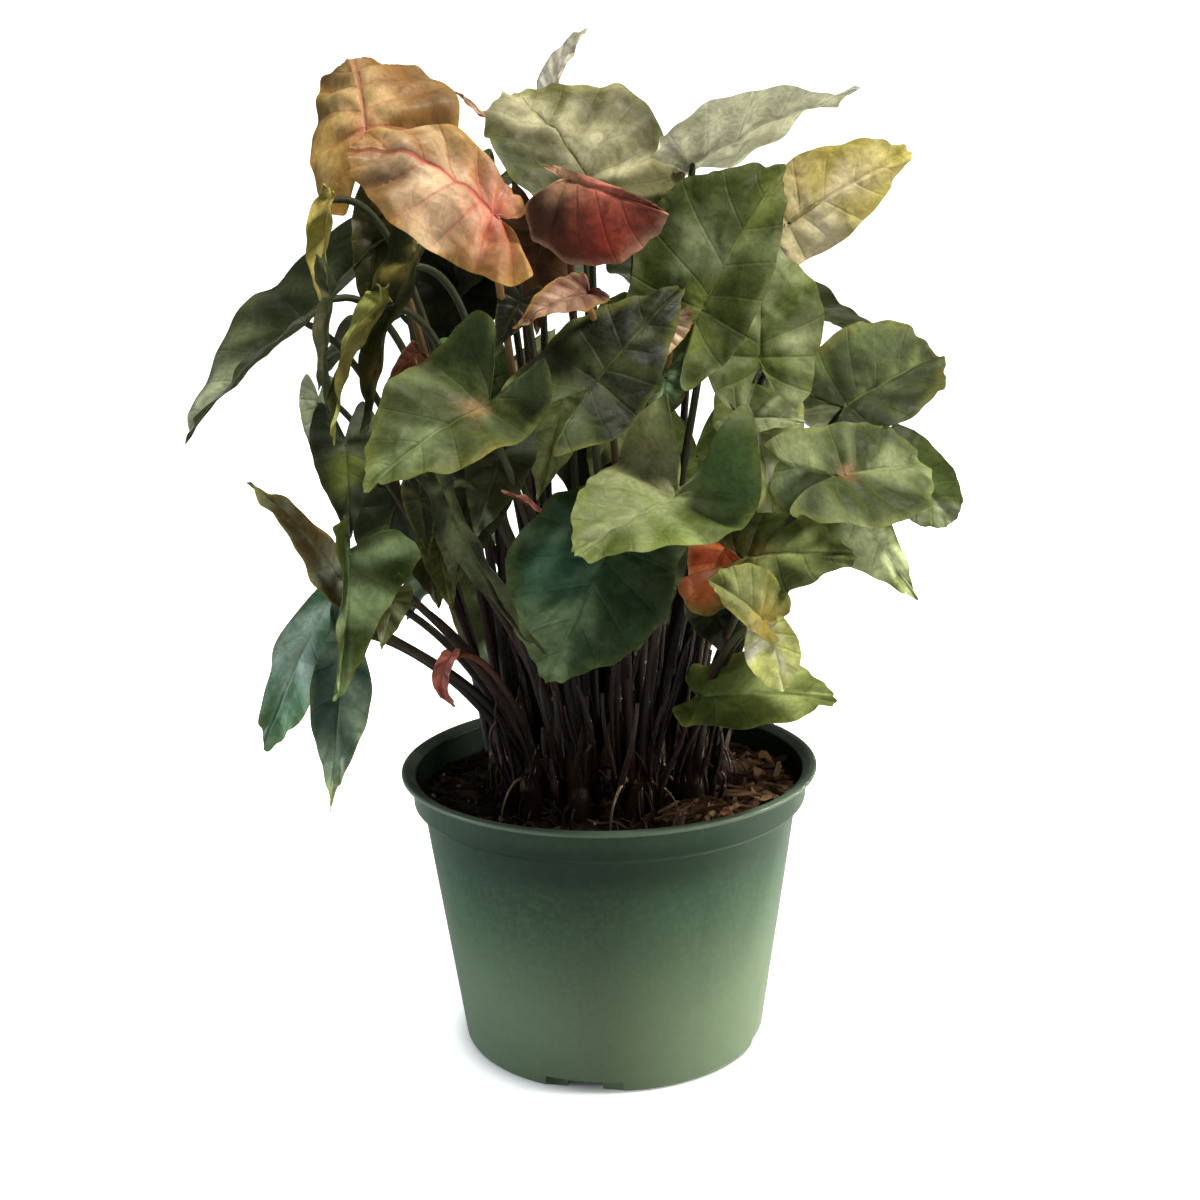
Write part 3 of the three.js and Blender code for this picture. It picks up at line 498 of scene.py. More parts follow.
class Nodes:
    """Short names for making a material's or the world's nodes. Each gives a node's outputs or output."""

    def __init__(self, owner):
        owner.use_nodes = True
        self.owner, self.tree = owner, owner.node_tree

    def put(self, socket, value):
        if isinstance(value, bpy.types.NodeSocket):
            self.tree.links.new(value, socket)
        elif np.ndim(value) and socket.type == "RGBA":
            socket.default_value = (*value[:3], 1)
        else:
            socket.default_value = value

    def node(self, kind, inputs=None, **settings):
        made = self.tree.nodes.new(kind)
        for key, value in settings.items():
            setattr(made, key, value)
        for key, value in (inputs or {}).items():
            self.put(made.inputs[key], value)
        return made.outputs

    def math(self, operation, a, b):
        return self.node("ShaderNodeMath", {0: a, 1: b}, operation=operation)[0]

    def plus(self, a, b):
        return self.math("ADD", a, b)

    def times(self, a, b):
        return self.math("MULTIPLY", a, b)

    def remap(self, value, low, high, to_low=0, to_high=1, kind="SMOOTHSTEP"):
        return self.node("ShaderNodeMapRange", {
            "Value": value, "From Min": low, "From Max": high, "To Min": to_low, "To Max": to_high,
        }, interpolation_type=kind)["Result"]

    def mix(self, share, a, b, blend="MIX"):
        """The mix node's sockets for colours are inputs 6 and 7 and output 2."""
        return self.node("ShaderNodeMix", {0: share, 6: a, 7: b}, data_type="RGBA", blend_type=blend)[2]

    def attribute(self, name, output="Vector"):
        return self.node("ShaderNodeAttribute", attribute_name=name)[output]

    def position(self):
        return self.node("ShaderNodeTexCoord")["Object"]

    def split(self, vector):
        return self.node("ShaderNodeSeparateXYZ", {"Vector": vector})

    def scaled(self, vector, scale):
        return self.node("ShaderNodeMapping", {"Vector": vector, "Scale": scale})["Vector"]

    def noise(self, vector, scale, detail, rough=0.55, distortion=0):
        return self.node("ShaderNodeTexNoise", {
            "Vector": vector, "Scale": scale, "Detail": detail, "Roughness": rough, "Distortion": distortion,
        })["Fac"]

    def cells(self, vector, scale, feature="F1"):
        made = self.node("ShaderNodeTexVoronoi", {"Vector": vector, "Scale": scale}, feature=feature)
        return made["Distance"]

    def bump(self, height, distance, strength):
        made = self.node("ShaderNodeBump", {"Height": height, "Distance": distance, "Strength": strength})
        return made["Normal"]

    def done(self, **sockets):
        """The material, with these values or links on its shader."""
        for key, value in sockets.items():
            self.put(self.tree.nodes["Principled BSDF"].inputs[key.replace("_", " ")], value)
        return self.owner


def leaf_material(name, rough, coat, shine):
    """A waxy leaf: tint is its colour, line its veins' colour, and place is in mm on the blade.

    vein is the side veins' phase, how many mm one phase takes, and how many mm away the midrib is."""
    n = Nodes(bpy.data.materials.new(name))
    place, tint = n.attribute("place"), n.attribute("tint", "Color")
    line = n.node("ShaderNodeAttribute", attribute_name="line")
    phase, pace, off_rib = n.split(n.attribute("vein"))
    lateral = n.remap(n.times(n.math("PINGPONG", phase, 0.5), pace), 0.1, 0.8, 1, 0)
    midrib = n.remap(off_rib, 0.25, 1.1, 1, 0)
    veins = n.math("MAXIMUM", n.times(lateral, 0.6), midrib)
    fine = n.remap(n.cells(place, 0.42, "DISTANCE_TO_EDGE"), 0, 0.2, 1, 0)
    mottle = n.noise(place, 0.2, 5, 0.62, 1.4)
    small = n.noise(place, 0.7, 4, 0.6)
    swell = n.noise(place, 0.09, 1, 0.4, 0.5)
    shade = n.times(n.remap(mottle, 0.38, 0.62, 0.84, 1.15), n.remap(small, 0.25, 0.75, 0.9, 1.1, "LINEAR"))
    grey = n.node("ShaderNodeCombineColor", {0: shade, 1: shade, 2: shade})[0]
    colour = n.mix(1, tint, grey, "MULTIPLY")
    colour = n.mix(n.times(fine, 0.04), colour, line["Color"])
    colour = n.mix(n.times(veins, line["Alpha"]), colour, line["Color"])
    roughness = n.remap(n.noise(place, 0.18, 3), 0.3, 0.7, rough - 0.07, rough + 0.12, "LINEAR")
    relief = n.plus(n.times(veins, -0.4), n.times(fine, -0.04))
    relief = n.plus(n.plus(relief, n.times(small, 0.1)), n.times(swell, 5))
    return n.done(Base_Color=colour, Roughness=roughness, Normal=n.bump(relief, 0.0008, 0.8),
                  Specular_IOR_Level=shine, Coat_Weight=coat, Coat_Roughness=0.35)


def stalk_material():
    """Streaky and faintly spotted stalks: tint gives each its colour."""
    n = Nodes(bpy.data.materials.new("stalk"))
    place, tint = n.attribute("place"), n.attribute("tint", "Color")
    streak = n.noise(n.scaled(place, (1.6, 1.6, 0.12)), 1.2, 4)
    spots = n.noise(place, 1.6, 3)
    colour = n.mix(n.remap(streak, 0.42, 0.68, 0, 0.55), tint, n.mix(1, tint, rgb("8a7a63"), "MULTIPLY"))
    colour = n.mix(n.remap(spots, 0.6, 0.72, 0, 0.35), colour, rgb("5b4433"))
    height = n.plus(n.times(streak, 1), n.times(spots, 0.4))
    return n.done(Base_Color=colour, Roughness=n.remap(spots, 0.3, 0.7, 0.38, 0.6, "LINEAR"),
                  Normal=n.bump(height, 0.0004, 0.8), Specular_IOR_Level=0.2)


def pot_material():
    """Muted green moulded plastic: cloudy, finely grained and faintly smeared. Painted light and shade:
    paler near its foot, darker towards the top, a painted shadow on the front under the collar and a painted
    highlight along the lip's top.
    """
    n = Nodes(bpy.data.materials.new("pot_plastic"))
    place = n.position()
    _, ahead, level = n.split(place)
    cloud = n.noise(place, 14, 5, 0.6, 0.4)
    grain = n.noise(place, 420, 3, 0.6)
    smear = n.noise(n.scaled(place, (1, 1, 0.35)), 38, 4, 0.6)
    colour = n.mix(n.remap(cloud, 0.32, 0.7), rgb("1e3225"), rgb("29402f"))
    colour = n.mix(n.remap(grain, 0.35, 0.75, 0, 0.3), colour, rgb("41543d"))
    colour = n.mix(n.remap(smear, 0.6, 0.78, 0, 0.35), colour, rgb("1f2f23"))
    colour = n.mix(n.remap(n.cells(place, 260), 0.06, 0, 0, 0.5), colour, rgb("32362c"))
    # Painted light: paler towards the foot, as if lit from the floor.
    colour = n.mix(n.remap(level, 0.085, 0.02, 0, 0.38), colour, rgb("707d64"))
    # Painted shade: darker towards the top, under the collar and the leaves.
    colour = n.mix(n.remap(level, 0.07, 0.1, 0, 0.55), colour, rgb("11241a"))
    # Painted shadow: a dark band on the front, just under the collar.
    collar_shadow = n.times(n.remap(level, 0.082, 0.094), n.remap(level, 0.1085, 0.102))
    colour = n.mix(n.times(collar_shadow, n.remap(ahead, -0.04, -0.072, 0, 0.6)), colour, rgb("081a0e"))
    # Painted highlight: a paler line along the lip's top.
    colour = n.mix(n.remap(level, 0.1118, 0.1126, 0, 0.3), colour, rgb("7d8a78"))
    height = n.plus(n.times(grain, 0.5), n.times(smear, 0.3))
    return n.done(Base_Color=colour, Roughness=n.remap(smear, 0.3, 0.75, 0.34, 0.5, "LINEAR"),
                  Normal=n.bump(height, 0.00012, 0.6), Specular_IOR_Level=0.14)


def peat_material():
    """Dark fibrous peat, paler in patches towards the right: partly drier peat and partly painted light from
    the right.
    """
    n = Nodes(bpy.data.materials.new("peat"))
    place = n.position()
    big = n.noise(place, 30, 4, 0.6)
    fine = n.noise(place, 600, 6, 0.7)
    fibre = n.noise(n.scaled(place, (1, 0.35, 1)), 300, 4, 0.6, 2)
    colour = n.mix(n.remap(big, 0.35, 0.7), rgb("150f0c"), rgb("2c1f17"))
    colour = n.mix(n.remap(fine, 0.5, 0.75, 0, 0.8), colour, rgb("4a3526"))
    colour = n.mix(n.remap(fibre, 0.66, 0.75, 0, 0.6), colour, rgb("7a5c3e"))
    # Partly painted light: paler patches towards the right, where the light falls, as well as drier peat.
    dry_and_lit = n.times(n.remap(n.split(place)["X"], 0, 0.05), n.remap(fine, 0.3, 0.6, 0.3, 0.8))
    colour = n.mix(dry_and_lit, colour, rgb("5e4530"))
    height = n.plus(n.times(n.cells(place, 420), -1), n.times(fine, 1.2))
    return n.done(Base_Color=colour, Roughness=0.94,
                  Normal=n.bump(height, 0.0012, 1), Specular_IOR_Level=0.2)


def scrap_material():
    """Bark, straw, peat crumbs and perlite: tint gives each its colour."""
    n = Nodes(bpy.data.materials.new("scraps"))
    place, tint = n.attribute("place"), n.attribute("tint", "Color")
    grain = n.noise(n.scaled(place, (1.2, 1.2, 0.18)), 1.6, 5, 0.65, 0.5)
    fine = n.noise(place, 3, 4, 0.7)
    colour = n.mix(n.remap(grain, 0.4, 0.65, 0, 0.7), tint, n.mix(1, tint, rgb("8f7f72"), "MULTIPLY"))
    colour = n.mix(n.remap(fine, 0.3, 0.7, 0.25, 0), colour, rgb("1c140e"))
    height = n.plus(grain, n.times(fine, 0.5))
    return n.done(Base_Color=colour, Roughness=0.85,
                  Normal=n.bump(height, 0.0005, 1), Specular_IOR_Level=0.25)


def floor_material():
    """Pale floor that looks lit from below too, so that it stays white, though not under the pot."""
    n = Nodes(bpy.data.materials.new("studio_floor"))
    place = n.position()
    colour = n.mix(n.noise(place, 3, 2), (0.9, 0.9, 0.9), (0.93, 0.93, 0.93))
    apart = n.node("ShaderNodeVectorMath", {0: place}, operation="LENGTH")["Value"]
    # Painted light: a glow that grows further out, and a painted shadow where it fades out round the pot's
    # foot.
    glow = n.plus(n.remap(apart, 0.054, 0.07, 0, 0.85), n.remap(apart, 0.2, 0.8, 0, 0.6))
    glow = n.times(glow, n.node("ShaderNodeLightPath")["Is Camera Ray"])
    return n.done(Base_Color=colour, Roughness=0.7, Specular_IOR_Level=0.1,
                  Emission_Color=(0.97, 0.98, 1), Emission_Strength=glow)


LEAF_FINISH = {
    "leaf_green": leaf_material("leaf_green", rough=0.54, coat=0.02, shine=0.12),
    "leaf_dark": leaf_material("leaf_dark", rough=0.5, coat=0.04, shine=0.15),
    "leaf_pale": leaf_material("leaf_pale", rough=0.55, coat=0.02, shine=0.16),
    "leaf_pink": leaf_material("leaf_pink", rough=0.5, coat=0.05, shine=0.22),
}
STALK = stalk_material()


# ---------------------------------------------------------------- leaves

def refined(points, steps):
    """A Catmull-Rom curve through the points."""
    ends = np.vstack([2 * points[0] - points[1], points, points[-1] + (points[-1] - points[-2]) * 0.2])
    t = np.arange(steps)[:, None] / steps
    made = []
    for a, b, c, d in zip(ends, ends[1:], ends[2:], ends[3:]):
        cubic = (3 * b - a - 3 * c + d) * t ** 3
        made.append(0.5 * (2 * b + (c - a) * t + (2 * a - 5 * b + 4 * c - d) * t ** 2 + cubic))
    made = np.vstack([*made, points[-1:]])
    made[:, 1] = np.maximum(made[:, 1], 0)
    return made


def outline(form, steps):
    """A blade's edge, from the tip round by the left, in shares of its length."""
    halves = []
    for side in (0, 1):
        width, lobe, full, rounded = (pair(form[key])[side] for key in ("width", "lobe", "full", "round"))
        half = POINTED_HALF * (1 - rounded) + ROUNDED_HALF * rounded
        u = half[:, 0]
        half[:, 1] *= np.where(u > 0, width * (1 + full * 4 * u * (1 - u)), width)
        half[:, 0] = np.where(u > 0, u, u * lobe)
        halves.append(refined(half, steps))
    left, right = halves
    return np.vstack([left, right[1:-1][::-1] * (1, -1)])


def leaf_axes(blade):
    """A blade's joint, its length, and its axes to the tip, upwards and to the left."""
    start = np.array(blade["start"], float)
    span = np.array(blade["tip"], float) - start
    length = np.linalg.norm(span)
    rib = span / length
    azimuth, elevation = np.radians(blade["face"])
    level = math.cos(elevation)
    up = np.array([math.cos(azimuth) * level, math.sin(azimuth) * level, math.sin(elevation)])
    up = unit(up - rib * (up @ rib))
    return start, length, rib, up, np.cross(up, rib)


def blade_points(axes, form, u, v):
    """The blade's middle surface, by the CAD source's formula."""
    start, length, rib, up, left = axes
    fold, curl, rear = (np.radians(np.where(v > 0, *pair(form[key]))) for key in ("fold", "curl", "rear"))
    slant = fold + curl * np.abs(v) / (2 * PLAIN_LEAF["width"])
    belly = np.where(u > 0, 4 * u * (1 - u), 0.8 * u)
    behind = np.where(u > 0.1, 0, np.where(u < -0.3, -u - 0.1, (0.1 - u) ** 2 / 0.8))
    wave = (u ** 2 + v ** 2) * np.sin(5 * np.arctan2(v, u))
    ahead = u + behind * (1 - np.cos(rear))
    aside = v * np.cos(slant) + form["bend"] * belly
    rise = form["arch"] * belly + behind * np.sin(rear) + 0.02 * wave + np.abs(v) * np.sin(slant)
    return start + length * (ahead[:, None] * rib + aside[:, None] * left + rise[:, None] * up)


def vein_field(u, v, length):
    """Side veins as contours that leave the midrib forwards and fan out from the stalk.

    Gives the phase, which is whole on a vein, and how many millimetres one phase takes."""
    w = np.arccosh(2 * u - 1 + 2j * np.abs(v) + 1e-6)
    phase = (w.imag + VEIN_LEAN * w.real) / VEIN_GAP
    pace = VEIN_GAP * length * 0.5 * np.abs(np.sinh(w)) / math.hypot(1, VEIN_LEAN)
    return phase, pace


def blade_grid(blade, seed, r):
    """Points in rings from the stalk's joint to the slightly ragged edge, and where each of them is.

    u and v are along and across the blade in shares of its length. share goes from 0 at the joint to 1 at
    the edge, and around is the angle round the joint."""
    grid = SimpleNamespace(seed=seed, axes=leaf_axes(blade))
    grid.length = grid.axes[1]
    steps, rings = (8, 16) if grid.length > 44 else (6, 11) if grid.length > 28 else (4, 7)
    edge = outline(blade["form"], steps)
    count = len(edge)
    turn = circle(count)
    ragged = 0.012 * np.sin(11 * turn + r.uniform(0, 6)) + 0.01 * np.sin(23 * turn + r.uniform(0, 6))
    ragged *= np.minimum(1, 6 * np.abs(np.sin(turn / 2)))
    shares = np.linspace(0, 1, rings + 1)[1:]
    flat = np.vstack([[[0.0, 0.0]]] + [edge * (s * (1 + ragged * s ** 3))[:, None] for s in shares])
    grid.share = np.concatenate([[0], np.repeat(shares, count)])
    grid.around = np.concatenate([[0], np.tile(turn, rings)])
    grid.u, grid.v = flat.T
    grid.spot = flat * grid.length
    grid.off_rib = np.abs(grid.v) * grid.length
    grid.phase, grid.pace = vein_field(grid.u, grid.v, grid.length)
    grid.between = np.abs(np.sin(math.pi * grid.phase))
    grid.open = np.clip(grid.pace / 7, 0, 1)
    i = np.arange(count)
    grid.faces = [np.stack([np.zeros(count, int), 1 + i, 1 + (i + 1) % count], 1)]
    grid.faces += [ring_faces(1 + k * count, 1 + (k + 1) * count, count) for k in range(rings - 1)]
    grid.rim = np.arange(count) + len(flat) - count
    return grid


def blade_relief(grid, look, r):
    """How far the surface rises: puckers between the veins, a groove along the midrib and a ruffled edge."""
    puff = look["puff"] * min(1, grid.length / 60)
    ruffle = grid.length / 55
    inside = smooth(grid.share, 0.05, 0.35) * (1 - 0.7 * smooth(grid.share, 0.8, 1.0))
    rise = puff * (grid.between ** 1.4 - 0.4) * grid.open * inside
    rise += 0.7 * puff * lumps(grid.spot + grid.seed, 14, grid.seed) * smooth(grid.share, 0.1, 0.5)
    rise -= 0.55 * np.exp(-(grid.off_rib / 1.3) ** 2) * smooth(-grid.u, -1.0, -0.6)
    waves = np.sin(7 * grid.around + r.uniform(0, 6)) + 0.7 * np.sin(12 * grid.around + r.uniform(0, 6))
    rise += ruffle * grid.share ** 4 * waves
    rise += ruffle * 0.35 * grid.share ** 6 * np.sin(21 * grid.around + r.uniform(0, 6))
    return rise


def blade_keel(grid):
    """How far the midrib and the side veins stand out below."""
    along = smooth(grid.u, -0.05, 0.02) * (1 - 0.8 * np.clip(grid.u, 0, 1)) * min(1, grid.length / 60)
    side_veins = (1 - smooth(grid.between * grid.pace / 3, 0.1, 0.5)) * grid.open * (1 - grid.share ** 2)
    return 0.8 * np.exp(-(grid.off_rib / 1.1) ** 2) * along + 0.22 * side_veins


def blade_colours(grid, look):
    """The tint and the veins' colour at the points of the upper face and then of the lower."""
    base, line, under = (rgb(look[key]) for key in ("base", "line", "under"))
    near = np.exp(-grid.off_rib / (0.12 * grid.length)) * smooth(grid.u, -0.1, 0.1)
    streak = np.column_stack([grid.phase * 11 + 40 * np.sign(grid.v), grid.off_rib * 0.45])
    patch = 0.7 * lumps(grid.spot + 3 * grid.seed, 24, grid.seed + 1) + 0.7 * lumps(streak, 9, grid.seed + 2)
    patch += 0.35 * (grid.between - 0.6) + near
    pale = smooth(patch, 0.7 - 2.4 * look["spread"], 2.6 - 2.4 * look["spread"])
    colour = mix(base, rgb(look["pale"]), pale * look["cover"])
    soft = np.maximum(0.4, 1 + 0.5 * lumps(grid.spot, 9, grid.seed + 5))
    for du, dv, size, code, strength in look["dabs"]:
        away = ((grid.u - du) ** 2 + (grid.v - dv) ** 2) / size ** 2
        colour = mix(colour, rgb(code), strength * np.exp(-away * soft))
    bleed = look["bleed"] * (1 - 0.5 * smooth(grid.u, 0.2, 1))
    off_joint = np.hypot(grid.u, grid.v) * grid.length
    colour = mix(colour, line, bleed * np.exp(-np.minimum(grid.off_rib / 1.8, off_joint / 7)))
    margin = smooth(grid.share + 0.06 * lumps(grid.spot, 14, grid.seed + 3), 0.86, 1.02) * look["rimmed"]
    colour = mix(colour, rgb(look["rim"]), margin)
    cloudy = 0.16 * lumps(grid.spot, 26, grid.seed + 4) + 0.1 * lumps(streak + grid.seed, 7, grid.seed + 7)
    colour *= (1 + look["cloud"] * cloudy)[:, None]
    below = mix(under, base, 0.25 + 0.2 * lumps(grid.spot, 15, grid.seed + 6))
    fade = look["inked"] * (1 - 0.75 * smooth(grid.share, 0.35, 0.95))
    ink = np.vstack([with_alpha(line, fade), with_alpha(mix(under, line, 0.3) * 1.15, fade * 0.6)])
    return opaque(np.vstack([colour, below]), 2 * len(colour)), ink


def grown_blade(blade, seed):
    """A thin closed blade, with what its material needs at each point."""
    r = np.random.default_rng(seed)
    grid = blade_grid(blade, seed, r)
    middle = blade_points(grid.axes, blade["form"], grid.u, grid.v)
    middle += normals_of(middle, grid.faces) * blade_relief(grid, blade["look"], r)[:, None]
    normal = normals_of(middle, grid.faces)
    half = BLADE_THICKNESS / 2 * (1 - 0.6 * grid.share ** 6)
    top = middle + normal * half[:, None]
    low = middle - normal * (half + blade_keel(grid))[:, None]
    total, after = len(middle), np.roll(grid.rim, -1)
    faces = grid.faces + [f[:, ::-1] + total for f in grid.faces]
    faces.append(np.stack([grid.rim, grid.rim + total, after + total, after], 1))
    tint, ink = blade_colours(grid, blade["look"])
    place = np.column_stack([grid.spot, np.full(total, 37.0 * seed)])
    off_rib = grid.off_rib + 3 * smooth(-grid.u, -0.02, 0.06)
    vein = np.column_stack([grid.phase, np.maximum(grid.pace, 0.5), off_rib])
    return np.vstack([top, low]), faces, dict(
        tint=tint, line=ink, place=np.vstack([place, place + (0, 0, 5)]), vein=np.vstack([vein, vein]))


def stalk_feet(foot, leaves):
    """Where the stalks leave the stem: those that lean further start further out, so that none cross."""
    foot = np.array(foot, float)
    leans = np.array([(np.array(b["start"][:2]) - foot) / (b["start"][2] - STALK_FOOT) for b in leaves])
    offsets = leans - leans.mean(0)
    offsets *= STALK_SPREAD / np.linalg.norm(offsets, axis=1).max()
    return [np.array([*(foot + off), STALK_FOOT]) for off in offsets]


def stalk_line(bottom, axes):
    """A stalk's curve: it rises from the stem, leans out and arrives below its blade."""
    start, _, rib, up, _ = axes
    top = start + rib * STALK_AHEAD
    span = np.linalg.norm(start - bottom)
    rising = (start - bottom) * 0.35
    rising[2] = span * 0.9
    arriving = unit(0.85 * up + 0.35 * rib)
    below = top - arriving * min(span * 0.28, STALK_BEND)
    return bezier(bottom, bottom + unit(rising) * span / 2, below, top, 34)


def grown_stalk(bottom, blade, seed):
    """A thin stalk, dark at its foot and of its blade's hue at its top. The dark foot is partly its own
    colour and partly painted shade of the plant's dark inside.
    """
    axes = leaf_axes(blade)
    line = stalk_line(bottom, axes)
    t = np.linspace(0, 1, len(line))
    radius = 1.35 + 0.55 * (1 - t) ** 1.5 + 0.5 * np.exp(-t / 0.09)
    radius *= (1 - 0.45 * smooth(t, 0.97, 1.0)) * min(1.0, 0.72 + axes[1] / 150)
    points, faces, along, place = tube(line, radius, 10, (2, 200, seed * 31))
    # The near-black foot is partly the stalk's own colour and partly painted shade.
    low = rgb("100806" if seed % 3 else "25110c")
    high = rgb({"peach": "8d6c3e", "red": "6d3d2a"}.get(blade["skin"], "353b22"))
    colour = mix(mix(low, rgb("2e2316"), smooth(along, 0.2, 0.55)), high, smooth(along, 0.4, 0.85))
    colour *= (1 + 0.15 * lumps(points, 25, seed))[:, None]
    return points, faces, dict(tint=opaque(colour, len(points)), place=place)


def grown_stem(foot, seed):
    """The short stem in the soil, with the rings that old leaves left."""
    z = np.linspace(STEM_FOOT, STEM_TOP + 3, 26)
    line = np.column_stack([np.tile(foot, (len(z), 1)), z])
    radius = STEM_RADIUS + 0.35 * np.sin(z * 1.3 + seed) - 2.2 * smooth(z, STEM_TOP - 4, STEM_TOP + 3)
    points, faces, along, place = tube(line, radius, 16, (4, 30, seed * 17))
    colour = mix(rgb("160e0a"), rgb("20120e"), smooth(along, 0.3, 1))
    return points, faces, dict(tint=opaque(colour, len(points)), place=place)


def grown_sheath(foot, turn, height, seed):
    """A dry pointed sheath that hugs the stem's foot."""
    r = np.random.default_rng(seed)
    rows, cols = 10, 7
    s, c = (a.ravel() for a in np.meshgrid(np.linspace(0, 1, rows), np.linspace(-1, 1, cols), indexing="ij"))
    reach = 4.6 + height / 16 * s ** 2 + r.uniform(0, 1.5) * s ** 3
    angle = turn + c * (0.85 * (1 - s ** 1.6) + 0.02) + 0.3 * s
    z = SOIL_LEVEL + height * s + 1.5 * np.cos(c * 2) * s
    points = np.vstack([
        np.column_stack([foot[0] + radius * np.cos(angle), foot[1] + radius * np.sin(angle), z])
        for radius in (reach, reach - 0.35)])
    total = rows * cols
    grid = np.arange(total).reshape(rows, cols)
    quads = np.stack([grid[:-1, :-1], grid[:-1, 1:], grid[1:, 1:], grid[1:, :-1]], -1).reshape(-1, 4)
    border = np.concatenate([grid[0, :-1], grid[:-1, -1], grid[-1, :0:-1], grid[:0:-1, 0]])
    after = np.roll(border, -1)
    rim = np.stack([border, border + total, after + total, after], 1)
    colour = np.tile(mix(rgb("1c120d"), rgb("4a3424"), 0.1 + 0.6 * s * r.uniform(0.1, 1.0) ** 2), (2, 1))
    place = np.column_stack([np.tile(c * 3, 2), np.tile(s, 2), np.tile(s * height, 2) + seed * 13])
    return points, [quads, quads[:, ::-1] + total, rim], dict(tint=opaque(colour, 2 * total), place=place)


for index, (foot, leaves) in enumerate(STEMS):
    node = f"leafy_stem_{index + 1}"
    blades = {}
    stalks = Body()
    stalks.add(*grown_stem(foot, index))
    for k in range(SHEATHS):
        turn = rng.uniform(0, 6.28) if k > 2 else -1.6 + rng.uniform(-0.9, 0.9)
        stalks.add(*grown_sheath(foot, turn, rng.uniform(12, 48), 10 * index + k))
    for k, (blade, bottom) in enumerate(zip(leaves, stalk_feet(foot, leaves))):
        seed = 20 * index + k + 1
        blades.setdefault(blade["look"]["slot"], Body()).add(*grown_blade(blade, seed))
        stalks.add(*grown_stalk(bottom, blade, seed))
    for slot, body in blades.items():
        add_piece(f"blades_{index + 1}_{slot}", body, LEAF_FINISH[slot], [node], crease=60)
    add_piece(f"stalks_{index + 1}", stalks, STALK, [node])


# ---------------------------------------------------------------- pot

def body_radius(height):
    """The tapered wall's outer radius."""
    return BASE_RADIUS + (BODY_TOP_RADIUS - BASE_RADIUS) * height / STEP_HEIGHT


def rounded(profile, radius, steps=4):
    """The profile with each inner corner replaced by a small arc-like curve."""
    profile = np.asarray(profile, float)
    made = [profile[0]]
    for a, b, c in zip(profile[:-2], profile[1:-1], profile[2:]):
        before, after = a - b, c - b
        cut = min(radius, 0.45 * np.linalg.norm(before), 0.45 * np.linalg.norm(after))
        p, q = b + unit(before) * cut, b + unit(after) * cut
        made += [(1 - t) ** 2 * p + 2 * (1 - t) * t * b + t ** 2 * q for t in np.linspace(0, 1, steps)]
    return [*made, profile[-1]]


def foot_block(angle, outer, depth, width, height, draft=0.0):
    """A block across the pot's foot, from a radius inwards, turned to the notch's angle."""
    c, s = math.cos(math.radians(angle)), math.sin(math.radians(angle))
    corners = []
    for z, half in ((-1.0, width / 2), (height, width / 2 - draft)):
        for x, y in ((outer - depth, -half), (outer, -half), (outer, half), (outer - depth, half)):
            corners.append((x * c - y * s, x * s + y * c, z))
    faces = np.array([(0, 3, 2, 1), (4, 5, 6, 7), (0, 1, 5, 4), (1, 2, 6, 5), (2, 3, 7, 6), (3, 0, 4, 7)])
    return placed("cutter", new_mesh("cutter", corners, [faces]))


def pot_profile():
    """The shell's section, up its outside and down its inside, with small rounds at its corners.

    The wall is in short steps, so that it can be a little uneven, as thin moulded plastic is."""
    under_lip = POT_HEIGHT - LIP_DEPTH
    corners = rounded([
        (0, 0.8), (BASE_RADIUS - 13, 0.8), (BASE_RADIUS - 12, 0), (BASE_RADIUS - 0.8, 0),
        (body_radius(1.6), 1.6), (body_radius(STEP_HEIGHT - 1.2), STEP_HEIGHT - 1.2),
        (COLLAR_RADIUS - 1.2, STEP_HEIGHT - 0.2),
        (COLLAR_RADIUS, STEP_HEIGHT + 1.2), (COLLAR_RADIUS + 0.3, under_lip - 0.7),
        (LIP_RADIUS - 0.3, under_lip), (LIP_RADIUS, under_lip + 0.6), (LIP_RADIUS, POT_HEIGHT - 0.4),
        (LIP_RADIUS - 0.8, POT_HEIGHT), (LIP_RADIUS - LIP_WIDTH, POT_HEIGHT),
        (COLLAR_RADIUS - WALL, under_lip),
        (COLLAR_RADIUS - WALL, STEP_HEIGHT + 0.6), (body_radius(STEP_HEIGHT) - WALL, STEP_HEIGHT - 1.4),
        (body_radius(FLOOR) - WALL, FLOOR), (0, FLOOR),
    ], 0.5)
    fine = [corners[0]]
    for a, b in zip(corners[:-1], corners[1:]):
        pieces = max(1, int(np.linalg.norm(np.subtract(b, a)) / 6)) if a[0] > 40 and b[0] > 40 else 1
        fine += [a + (b - a) * t for t in np.linspace(0, 1, pieces + 1)[1:]]
    return fine


